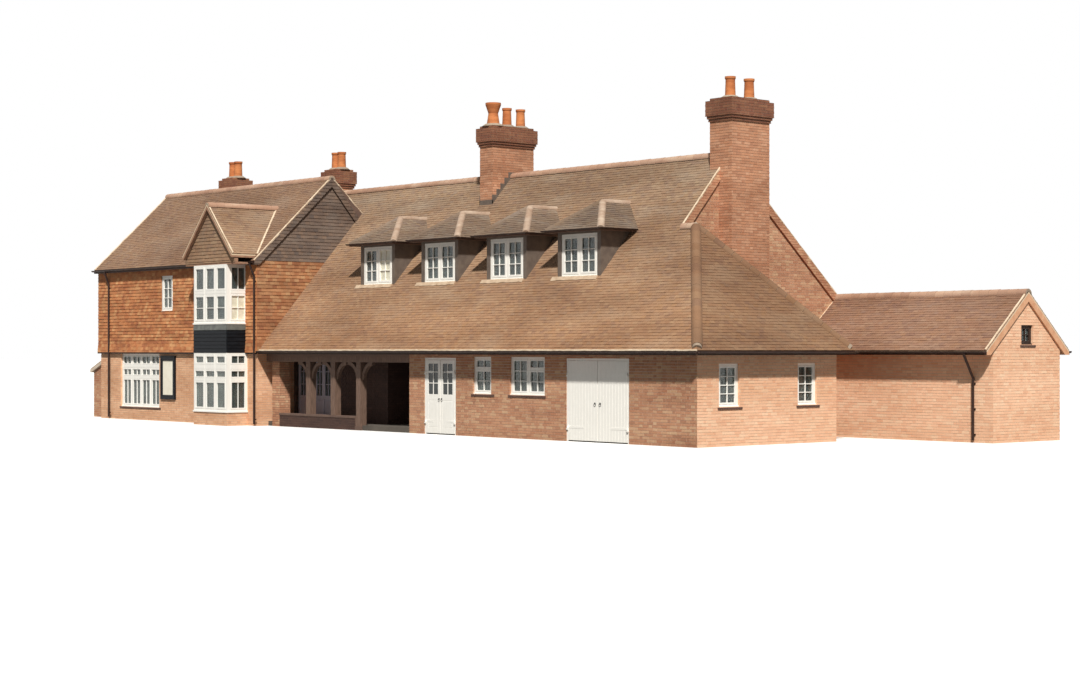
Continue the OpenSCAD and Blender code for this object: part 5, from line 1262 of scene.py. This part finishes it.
class INN_OT_bay(bpy.types.Operator):
    """Glazes the bay and boards the panel between its storeys"""
    bl_idname = "inn.bay"
    bl_label = "Bay window"

    def execute(self, context):
        sizes = context.scene.inn_sizes
        bar, f = sizes.glazing_bar, FRAME_W
        low, high = box("bay_windows")
        panel_low, panel_high = box("bay_panel")
        front = wall(low.x, low.y, high.x, low.y)
        right = wall(high.x, low.y, high.x, high.y)
        left = wall(low.x, high.y, low.x, low.y)
        across, deep = high.x - low.x, high.y - low.y

        white, cream_sheets = Form(), Form(right)
        # Foot and head of a storey, where its transom is, how far down a lower bar lies, the transom's height
        lower = (low.z, panel_low.z, 0.72, -0.33, 0.15)
        upper = (panel_high.z, high.z, 0.5, 0, 0.1)
        faces = ((front, across, 0.0, 3), (right, deep, FRAME_D, 1), (left, deep, 0.0, 1))
        for place, width, start, lights in faces:
            white.place = place
            run = width if lights == 3 else width - FRAME_D
            step = (run - f) / lights
            columns, stile = (1, 0.06) if lights == 3 else (2, 0.045)
            for foot, head, share, drop, lift in (lower, upper):
                bar_z = foot + (head - foot) * share
                for i in range(lights):
                    x0, x1 = start + i * step + f, start + (i + 1) * step
                    white.bar(x0, bar_z, x1, bar_z + lift, TRANSOM)
                    panes(white, x0, bar_z + lift, x1, head - f, columns, 1, stile, bar)
                    if drop:
                        mid = bar_z + drop
                        white.bar(x0, mid - 0.05, x1, mid + 0.05, TRANSOM)
                        panes(white, x0, mid + 0.05, x1, bar_z - f / 2, columns, 1, 0.035, bar)
                        panes(white, x0, foot + f, x1, mid - 0.05, columns, 1, stile, bar)
                    else:
                        panes(white, x0, foot + f, x1, bar_z - f / 2, columns, 2, stile, bar)
                        # The upper lights of the right cant get cream sheets behind their panes: painted
                        # reflection
                        if place is right:
                            cream_sheets.bar(x0, foot + f, x1, bar_z - f / 2, CREAM_SHEET)
        white.place = Matrix.Identity(4)
        out, lap = 0.03, 0.02
        for foot in (low.z, panel_high.z):
            z0, z1 = foot - 0.045, foot + 0.004
            white.block((low.x - out, low.y - out, z0), (high.x + out, low.y + lap, z1))
            for x0, x1 in ((low.x - out, low.x + lap), (high.x - lap, high.x + out)):
                white.block((x0, low.y + lap, z0), (x1, high.y, z1))
        white.piece("bay_casements", "white_paint", "white_joinery", bevel=0.004)
        cream_sheets.piece("bay_reflection_sheets", "cream_pane", "window_glass")

        boards, lead = Form(), Form()
        foot, lead_foot, lead_top = panel_low.z + 0.02, panel_high.z - 0.23, panel_high.z - 0.045
        rows = max(1, round((lead_foot - foot) / (sizes.board_width * 1.1)))
        step = (lead_foot - foot) / rows
        for place, width in ((front, across), (right, deep), (left, deep)):
            boards.place = lead.place = place
            for i in range(rows):
                z0, z1 = foot + i * step, foot + i * step + step - 0.006
                boards.sweep([[(x, z0, 0.022), (x, z1, 0.006), (x, z1, -0.02), (x, z0, -0.02)]
                              for x in (width, 0)])
            lead.slab([(0, lead_foot), (width, lead_foot), (width, lead_top), (0, lead_top)],
                      lambda u, v: 0.028 - 0.02 * (v - lead_foot) / (lead_top - lead_foot), -0.02, back=True)
        boards.piece("bay_boards", "black_paint", "dark_boards")
        lead.piece("bay_lead", "lead", "grey_cheek", bevel=0.004)
        return {"FINISHED"}


def boards(form, x0, x1, z0, z1, width, out):
    """Upright boards with chamfered edges and gaps between them on the face of the form's plane."""
    count = max(1, round((x1 - x0) / width))
    step, gap = (x1 - x0) / count, 0.004
    for i in range(count):
        a, b = x0 + i * step + gap / 2, x0 + (i + 1) * step - gap / 2
        form.sweep([[(a, z, -0.001), (b, z, -0.001), (b, z, out * 0.4), (b - out, z, out),
                     (a + out, z, out), (a, z, out * 0.4)] for z in (z0, z1)])


def fielded(form, x0, z0, x1, z1, margin, back, front):
    """A panel whose field stands up from a sloping margin round it."""
    form.sweep([[(x0 - margin, z0 - margin, back), (x1 + margin, z0 - margin, back),
                 (x1 + margin, z1 + margin, back), (x0 - margin, z1 + margin, back)],
                [(x0, z0, front), (x1, z0, front), (x1, z1, front), (x0, z1, front)]])


def handle(form, x, z):
    """A forged ring latch on a round plate."""
    turn = circle(20)
    form.sweep([[(x + r * c, z + r * s, out) for c, s in turn]
                for r, out in ((0.028, 0.0), (0.028, 0.006), (0.016, 0.009))])
    rings = []
    for c, s in turn + turn[:1]:
        middle = Vector((x + 0.036 * c, z - 0.036 + 0.036 * s, 0.014))
        spoke = Vector((c, s, 0))
        rings.append([middle + spoke * 0.005 * away + Vector((0, 0, 0.005 * up)) for away, up in circle(8)])
    form.sweep(rings, ends=False)


class INN_OT_doors(bpy.types.Operator):
    """Boards the wide doors, panels and glazes the side doors and adds their furniture"""
    bl_idname = "inn.doors"
    bl_label = "Hinged doors"

    def execute(self, context):
        sizes = context.scene.inn_sizes
        face = wall(0, DOOR_FACE, 1, DOOR_FACE)
        hinge_edge = 0.025
        out = 0.004
        latch_z = 1.02
        for name, side in (("left", -1), ("right", 1)):
            leaf = "garage_door_" + name
            low, high = box(leaf)
            x0, x1 = (low.x + hinge_edge, high.x) if side < 0 else (low.x, high.x - hinge_edge)
            form = Form(face)
            boards(form, x0 + 0.002, x1 - 0.002, low.z + 0.004, high.z - 0.004, sizes.board_width, out)
            form.piece(leaf + "_boards", "white_paint", "white_joinery", leaf)

            # Inside, three ledges hold the boards, with a brace up from the hinge under each
            inner = DOOR_FACE - high.y
            ledge, thick, away, lap = 0.11, 0.022, 0.07, 0.0005
            feet = (low.z + 0.14, (low.z + high.z - ledge) / 2, high.z - 0.14 - ledge)
            form = Form(face)
            for z in feet:
                form.bar(x0 + away, z, x1 - away, z + ledge, (inner - thick, inner + lap))
            for z, top in zip(feet, feet[1:]):
                ends = [(x0 + away, z + ledge), (x0 + away + ledge, z + ledge), (x1 - away, top),
                        (x1 - away - ledge, top)]
                if side > 0:
                    ends = [(x0 + x1 - x, z) for x, z in reversed(ends)]
                form.sweep([[(x, z, depth) for x, z in ends]
                            for depth in (inner - thick + 0.002, inner + lap)])
            form.piece(leaf + "_ledges", "white_paint", "white_joinery", leaf, bevel=0.002)

            form = Form(face)
            handle(form, x1 - 0.09 if side < 0 else x0 + 0.09, latch_z)
            form.piece(leaf + "_handle", "hinge_iron", "dark_iron", leaf, smooth=True)

            leaf = "side_door_" + name
            low, high = box(leaf)
            x0, x1 = (low.x + hinge_edge, high.x) if side < 0 else (low.x, high.x - hinge_edge)
            x0, x1, z0, z1 = x0 + 0.002, x1 - 0.002, low.z + 0.004, high.z - 0.004
            stile, lock_foot, lock_top, foot = 0.1, 0.98, 1.15, 0.16
            form = Form(face)
            for a, b, c, d in ((x0, z0, x0 + stile, z1), (x1 - stile, z0, x1, z1),
                               (x0 + stile, z0, x1 - stile, z0 + foot),
                               (x0 + stile, lock_foot, x1 - stile, lock_top),
                               (x0 + stile, z1 - stile, x1 - stile, z1)):
                form.bar(a, b, c, d, (-0.001, out))
            fielded(form, x0 + stile + 0.03, z0 + foot + 0.03, x1 - stile - 0.03, lock_foot - 0.03,
                    0.02, -0.0005, 0.0035)
            x0, x1, z0, z1 = x0 + stile, x1 - stile, lock_top, z1 - stile
            bar = sizes.glazing_bar
            # The upper bar lies on the line of the top strap, so the strap hides no pane
            strap = high.z - STRAP_DROP
            inner = DOOR_FACE - high.y
            for back, front in ((-0.014, 0.001), (inner + 0.001, inner + 0.015)):
                form.bar((x0 + x1 - bar) / 2, z0, (x0 + x1 + bar) / 2, z1, (back - 0.0005, front + 0.0005))
                for z in ((z0 + strap) / 2, strap):
                    form.bar(x0, z - bar / 2, x1, z + bar / 2, (back, front))
            form.piece(leaf + "_panels", "white_paint", "white_joinery", leaf, bevel=0.0015)

            form = Form(face)
            for back in (-0.0165, inner + 0.0155):
                form.bar(x0 + 0.002, z0 + 0.002, x1 - 0.002, z1 - 0.002, (back, back + 0.002))
            form.piece(leaf + "_glass", "dark_glass", "window_glass", leaf)

            form = Form(face)
            handle(form, x1 + stile / 2 if side < 0 else x0 - stile / 2, latch_z)
            form.piece(leaf + "_handle", "hinge_iron", "dark_iron", leaf, smooth=True)
        return {"FINISHED"}


class INN_OT_porch(bpy.types.Operator):
    """Finishes the porch: the bars of its screen, the entrance door's planks and iron, and the pegs"""
    bl_idname = "inn.porch"
    bl_label = "Porch"

    def execute(self, context):
        bar, f = context.scene.inn_sizes.glazing_bar, FRAME_W
        low, high = box("porch_screen")
        form = Form(wall(low.x, low.y, high.x, low.y))
        foot, head = low.z, high.z - f
        step = (high.x - low.x - f) / 4
        rail = foot + SCREEN_RAIL
        for i in range(4):
            x0, x1 = i * step + f, (i + 1) * step
            ring(form, x0 + CLEAR, rail + f / 2 + CLEAR, x1 - CLEAR, head - CLEAR, 0.045, (-0.034, 0.006))
            middle = (x0 + x1) / 2
            form.bar(middle - bar / 2, rail + f, middle + bar / 2, head, (-0.05, -0.004))
            for k in (1, 2):
                z = rail + f / 2 + (head - rail - f / 2) * k / 3
                form.bar(x0 + 0.04, z - bar / 2, x1 - 0.04, z + bar / 2, (-0.05, -0.005))
            fielded(form, x0 + 0.05, foot + f + 0.05, x1 - 0.05, rail - f / 2 - 0.05, 0.03, -0.03, -0.012)
        # The screen's bars take the white paint greyed as painted shade
        form.piece("screen_bars", "shaded_white_paint", "grey_joinery", bevel=0.003)

        low, high = box("entrance_door")
        face = wall(low.x, low.y, high.x, low.y)
        width = high.x - low.x
        form = Form(face @ Matrix.Translation((0, 0, -0.018)))
        boards(form, f + 0.004, width - f - 0.004, low.z + f, high.z - f, 0.15, 0.012)
        form.piece("entrance_planks", "oak", "oak", bevel=0.002)
        form = Form(face @ Matrix.Translation((0, 0, -0.006)))
        handle(form, width - 0.2, low.z + 1.0)
        for z in (low.z + 0.35, low.z + 1.05, low.z + 1.75):
            root, tip = f + 0.01, width * 0.72
            form.slab([(root, z), (tip, z + 0.015), (tip, z + 0.03), (root, z + 0.045)],
                      0.004, -0.004, back=True)
        form.piece("entrance_ironwork", "hinge_iron", "dark_iron")

        # Four pegs through the head of each post, below the beam
        face_y = box("porch_frame")[0].y + 0.02
        form = Form(wall(0, face_y, 1, face_y))
        turn = circle(10)
        for post in POST_XS:
            for x in (post - 0.048, post + 0.048):
                for z in (PEG_Z - 0.06, PEG_Z + 0.06):
                    form.sweep([[(x + r * c, z + r * s, out) for c, s in turn]
                                for r, out in ((0.011, -0.01), (0.010, 0.008))])
        form.piece("porch_pegs", "oak_beam", "oak")
        return {"FINISHED"}


class INN_OT_notice(bpy.types.Operator):
    """Lines the notice case with a bare cream panel and frames it"""
    bl_idname = "inn.notice"
    bl_label = "Notice case"

    def execute(self, context):
        low, high = box("notice_board")
        width, foot, head, rim = high.x - low.x, low.z, high.z, 0.07
        place = wall(low.x, low.y, high.x, low.y)
        panel = Form(place)
        panel.bar(rim, foot + rim, width - rim, head - rim, (-0.032, -0.022))
        panel.piece("notice_panel", "notice_panel", "pale_boards", bevel=0.001)
        trim = Form(place)
        ring(trim, 0.012, foot + 0.012, width - 0.012, head - 0.012, rim, (-0.04, 0.008))
        ring(trim, rim, foot + rim, width - rim, head - rim, 0.075, (-0.045, -0.004))
        trim.bar(-0.02, head - 0.004, width + 0.02, head + 0.02, (-0.06, 0.03))
        trim.piece("notice_moulding", "black_paint", "dark_boards", bevel=0.004)
        return {"FINISHED"}


class INN_OT_chimneys(bpy.types.Operator):
    """Beds the pots in mortar and flashes the stacks with lead"""
    bl_idname = "inn.chimneys"
    bl_label = "Chimney tops and flashings"

    def execute(self, context):
        rng = random.Random(12)
        bed = Form()
        for low, high in islands("chimney_pots"):
            x, y = (low.x + high.x) / 2, (low.y + high.y) / 2
            radius = POT_FOOT if high.x - low.x < 0.4 else FLARED_FOOT
            rings = []
            # How far the mortar stands out from the pot, and how high over its foot
            for more, up in ((0.13, -0.002), (0.10, 0.03), (0.045, 0.07), (-0.004, 0.085)):
                r = radius + more
                rings.append([(x + r * c * rng.uniform(0.97, 1.03), y + r * s * rng.uniform(0.97, 1.03),
                               low.z + up) for c, s in circle(20)])
            bed.sweep(rings)
        bed.piece("pot_bedding", "old_mortar", "stack_brick", smooth=True)

        def roof_z(y):
            """The height of the main roof."""
            return FRONT_HIGH.z - ((RIDGE_Y - y) * FRONT_TAN if y <= RIDGE_Y else (y - RIDGE_Y) * REAR_TAN)

        def wing_z(y):
            """The height of the wing's roof."""
            return WING_HIGH.z - abs(y - WING_RIDGE_Y) * WING_TAN

        # The fourth stack stands outside the roof and needs no flashing
        lead = Form()
        out, step = 0.016, 0.16
        for (low, high), line in zip(islands("chimney_stacks"), (wing_z, roof_z, roof_z)):
            for x, side in ((low.x, -1), (high.x, 1)):
                lead.place = wall(x, 0, x, side)
                ys = [low.y - out]
                while ys[-1] + step < high.y:
                    ys.append(ys[-1] + step)
                ys.append(high.y + out)
                for y0, y1 in zip(ys, ys[1:]):
                    base = min(line(y0), line(y1)) - 0.02
                    top = max(line(y0), line(y1)) + 0.14
                    ends = sorted((side * y0, side * y1))
                    lead.bar(ends[0], base, ends[1], top, (-0.01, out))
            width = high.x - low.x
            for y, place in ((low.y, wall(low.x, low.y, high.x, low.y)),
                             (high.y, wall(high.x, high.y, low.x, high.y))):
                lead.place = place
                lead.bar(-out, line(y) - 0.12, width + out, line(y) + 0.15, (-0.01, out))
        lead.piece("stack_flashings", "cheek", "grey_cheek", bevel=0.003)
        return {"FINISHED"}


class INN_OT_eaves(bpy.types.Operator):
    """Beds mortar below the dormers and along the eaves, and hangs the dormers' gutters and all brackets"""
    bl_idname = "inn.eaves"
    bl_label = "Aprons, eaves and gutters"

    def execute(self, context):
        apron = Form(plane((0, FRONT_LOW.y, EAVES), (1, FRONT_LOW.y, EAVES), (0, RIDGE_Y, FRONT_HIGH.z)))
        rng = random.Random(21)
        rise = math.hypot(1, FRONT_TAN)
        count, depth = 14, 0.13
        for low, high in islands("upper_windows"):
            if not in_dormer(low):
                continue
            x0, x1 = low.x - 0.34, high.x + 0.05
            top = (low.y - 0.02 - FRONT_LOW.y) * rise
            foot = top - depth
            edge = [(x0 + (x1 - x0) * i / count, foot + rng.uniform(-0.012, 0.012)) for i in range(count + 1)]
            for a, b in zip(edge, edge[1:]):
                apron.slab([a, b, (b[0], top), (a[0], top)],
                           lambda u, v: 0.036 + 0.012 * (v - foot) / depth, 0.0)
        apron.piece("dormer_aprons", "apron_mortar", "grey_cheek")

        # A cream bead of mortar along the front eave, which also stands for the sunlit edge of the lowest
        # tiles: painted highlight
        eaves = Form()
        mortar_line(eaves, (HUNG_HIGH.x, FRONT_LOW.y - 0.02, EAVES + 0.014),
                    (EXT_HIGH.x, FRONT_LOW.y - 0.02, EAVES + 0.014), (0, -1, 0.4), rng, 0.05, 0.012)
        eaves.piece("eaves_undercloak_highlight", "bedding", "ridge_tile")

        # Half-round gutters 90 mm wide, whose inside is 6 mm smaller all round
        gutters = Form()
        turn = [math.pi * k / 8 for k in range(9)]
        arc = [(0.045 - 0.045 * math.cos(a), -0.045 * math.sin(a)) for a in turn]
        arc += [(0.045 + 0.039 * math.cos(a), -0.039 * math.sin(a)) for a in turn]
        # Gutters round each dormer's eaves: their dark band stands in part for the shade under those eaves,
        # painted shade
        for low, high in islands("dormer_roofs"):
            top = low.z + 0.07
            back_y = FRONT_LOW.y + (top - 0.1 - EAVES) / FRONT_TAN
            gutters.sweep([[(x + a * out, y + b * out, top + z) for out, z in arc]
                           for x, y, a, b in ((low.x, back_y, -1, 0), (low.x, low.y, -1, -1),
                                              (high.x, low.y, 1, -1), (high.x, back_y, 1, 0))])
        gutters.piece("dormer_gutters", "iron", "dark_iron")

        # Straps under the long gutters, 24 mm wide and nearly a metre apart
        straps = Form()
        half = 0.012
        for low, high in islands("gutters_and_downpipes"):
            if high.x - low.x < 1 or high.z - low.z > 0.4:
                continue
            y_out, y_in = (low.y, high.y - 0.01) if low.y < 0 else (high.y, low.y + 0.01)
            middle, reach, drop = (y_out + y_in) / 2, (y_in - y_out) / 2, high.z - low.z - 0.006
            points = [(middle - reach * math.cos(a), high.z - 0.012 - drop * math.sin(a)) for a in turn]
            x = low.x + 0.3
            while x < high.x - 0.2:
                straps.sweep([[(x - half, y, z), (x + half, y, z),
                               (x + half, y + (middle - y) * 0.1, z + 0.006),
                               (x - half, y + (middle - y) * 0.1, z + 0.006)] for y, z in points])
                x += 0.95
        straps.piece("gutter_brackets", "iron", "dark_iron")
        return {"FINISHED"}


class INN_OT_finishes(bpy.types.Operator):
    """Makes the finishes and paints the solids with them"""
    bl_idname = "inn.finishes"
    bl_label = "Finishes"

    def execute(self, context):
        tints = context.scene.inn_colours
        clay_finishes(tints)
        plain_finishes(tints)
        floor_finish()
        glass_finish()
        paint_solids()
        return {"FINISHED"}


class INN_OT_stage(bpy.types.Operator):
    """Sets the pale floor, the soft light and the camera"""
    bl_idname = "inn.stage"
    bl_label = "Stage"

    def execute(self, context):
        scene = context.scene
        scene.view_settings.view_transform = "Standard"
        # A floor 800 m wide, 2 mm below the building
        floor = Form()
        floor.add([(x, y, -0.002) for x, y in oblong(-400, -400, 400, 400)], [(0, 1, 2, 3)])
        floor.made("floor", "floor")

        world = bpy.data.worlds.new("studio")
        scene.world = world
        world.use_nodes = True
        tree = world.node_tree
        tree.nodes.clear()
        # A faint blue light from all round, and white for the eye alone
        soft = node(tree, "Background", {"Color": (0.93, 0.96, 1.0, 1), "Strength": 0.13})
        white = node(tree, "Background", {"Color": (1, 1, 1, 1), "Strength": 1.0})
        mixed = node(tree, "MixShader", {0: seen_rays(tree), 1: soft.outputs[0], 2: white.outputs[0]})
        node(tree, "OutputWorld", {"Surface": mixed.outputs[0]})

        # The sun stands high in front of the right-hand end, as the shadows in the photo show
        lamp = bpy.data.lights.new("sun", "SUN")
        lamp.energy = 4.9
        lamp.angle = math.radians(3)
        lamp.color = (1.0, 0.97, 0.92)
        sun = bpy.data.objects.new("sun", lamp)
        sun.rotation_euler = Vector((0.485, -0.41, 0.68)).to_track_quat("Z", "Y").to_euler()
        scene.collection.objects.link(sun)

        # Fitted to the photo: level, 2.42 m over the ground, with a focal length of 2000 of its pixels
        focal_pixels, photo_width = 2000, 1080
        lens = bpy.data.cameras.new("camera")
        lens.sensor_width = 36
        lens.lens = lens.sensor_width * focal_pixels / photo_width
        lens.clip_end = 1000
        camera = bpy.data.objects.new("camera", lens)
        camera.location = (47.5, -40.6, 2.42)
        camera.rotation_euler = Vector((-0.7547, 0.6561, 0)).to_track_quat("-Z", "Y").to_euler()
        scene.collection.objects.link(camera)
        scene.camera = camera
        return {"FINISHED"}


class INN_PT_panel(bpy.types.Panel):
    """Lists the inn's pieces with their sizes and colours"""
    bl_idname = "INN_PT_panel"
    bl_label = "Village inn"
    bl_space_type = "VIEW_3D"
    bl_region_type = "UI"
    bl_category = "Inn"

    def draw(self, context):
        for title, group in (("Sizes", context.scene.inn_sizes), ("Tints", context.scene.inn_colours)):
            part = self.layout.box()
            part.label(text=title)
            for name in group.__annotations__:
                part.prop(group, name)
        for operator in OPERATORS:
            self.layout.operator(operator.bl_idname)


OPERATORS = (INN_OT_finishes, INN_OT_roof_tiles, INN_OT_bricks, INN_OT_hung_tiles, INN_OT_ridges,
             INN_OT_casements, INN_OT_bay, INN_OT_doors, INN_OT_porch, INN_OT_notice,
             INN_OT_chimneys, INN_OT_eaves, INN_OT_stage)
CLASSES = (InnSizes, InnColours, *OPERATORS, INN_PT_panel)


def register():
    """Adds the classes and hangs their values on the scene."""
    for made in CLASSES:
        bpy.utils.register_class(made)
    bpy.types.Scene.inn_sizes = bpy.props.PointerProperty(type=InnSizes)
    bpy.types.Scene.inn_colours = bpy.props.PointerProperty(type=InnColours)


def unregister():
    """Takes away what register() added."""
    del bpy.types.Scene.inn_colours
    del bpy.types.Scene.inn_sizes
    for made in reversed(CLASSES):
        bpy.utils.unregister_class(made)


def main():
    """Runs every operator."""
    register()
    for operator in OPERATORS:
        getattr(bpy.ops.inn, operator.bl_idname.split(".")[1])()


if __name__ == "__main__":
    main()
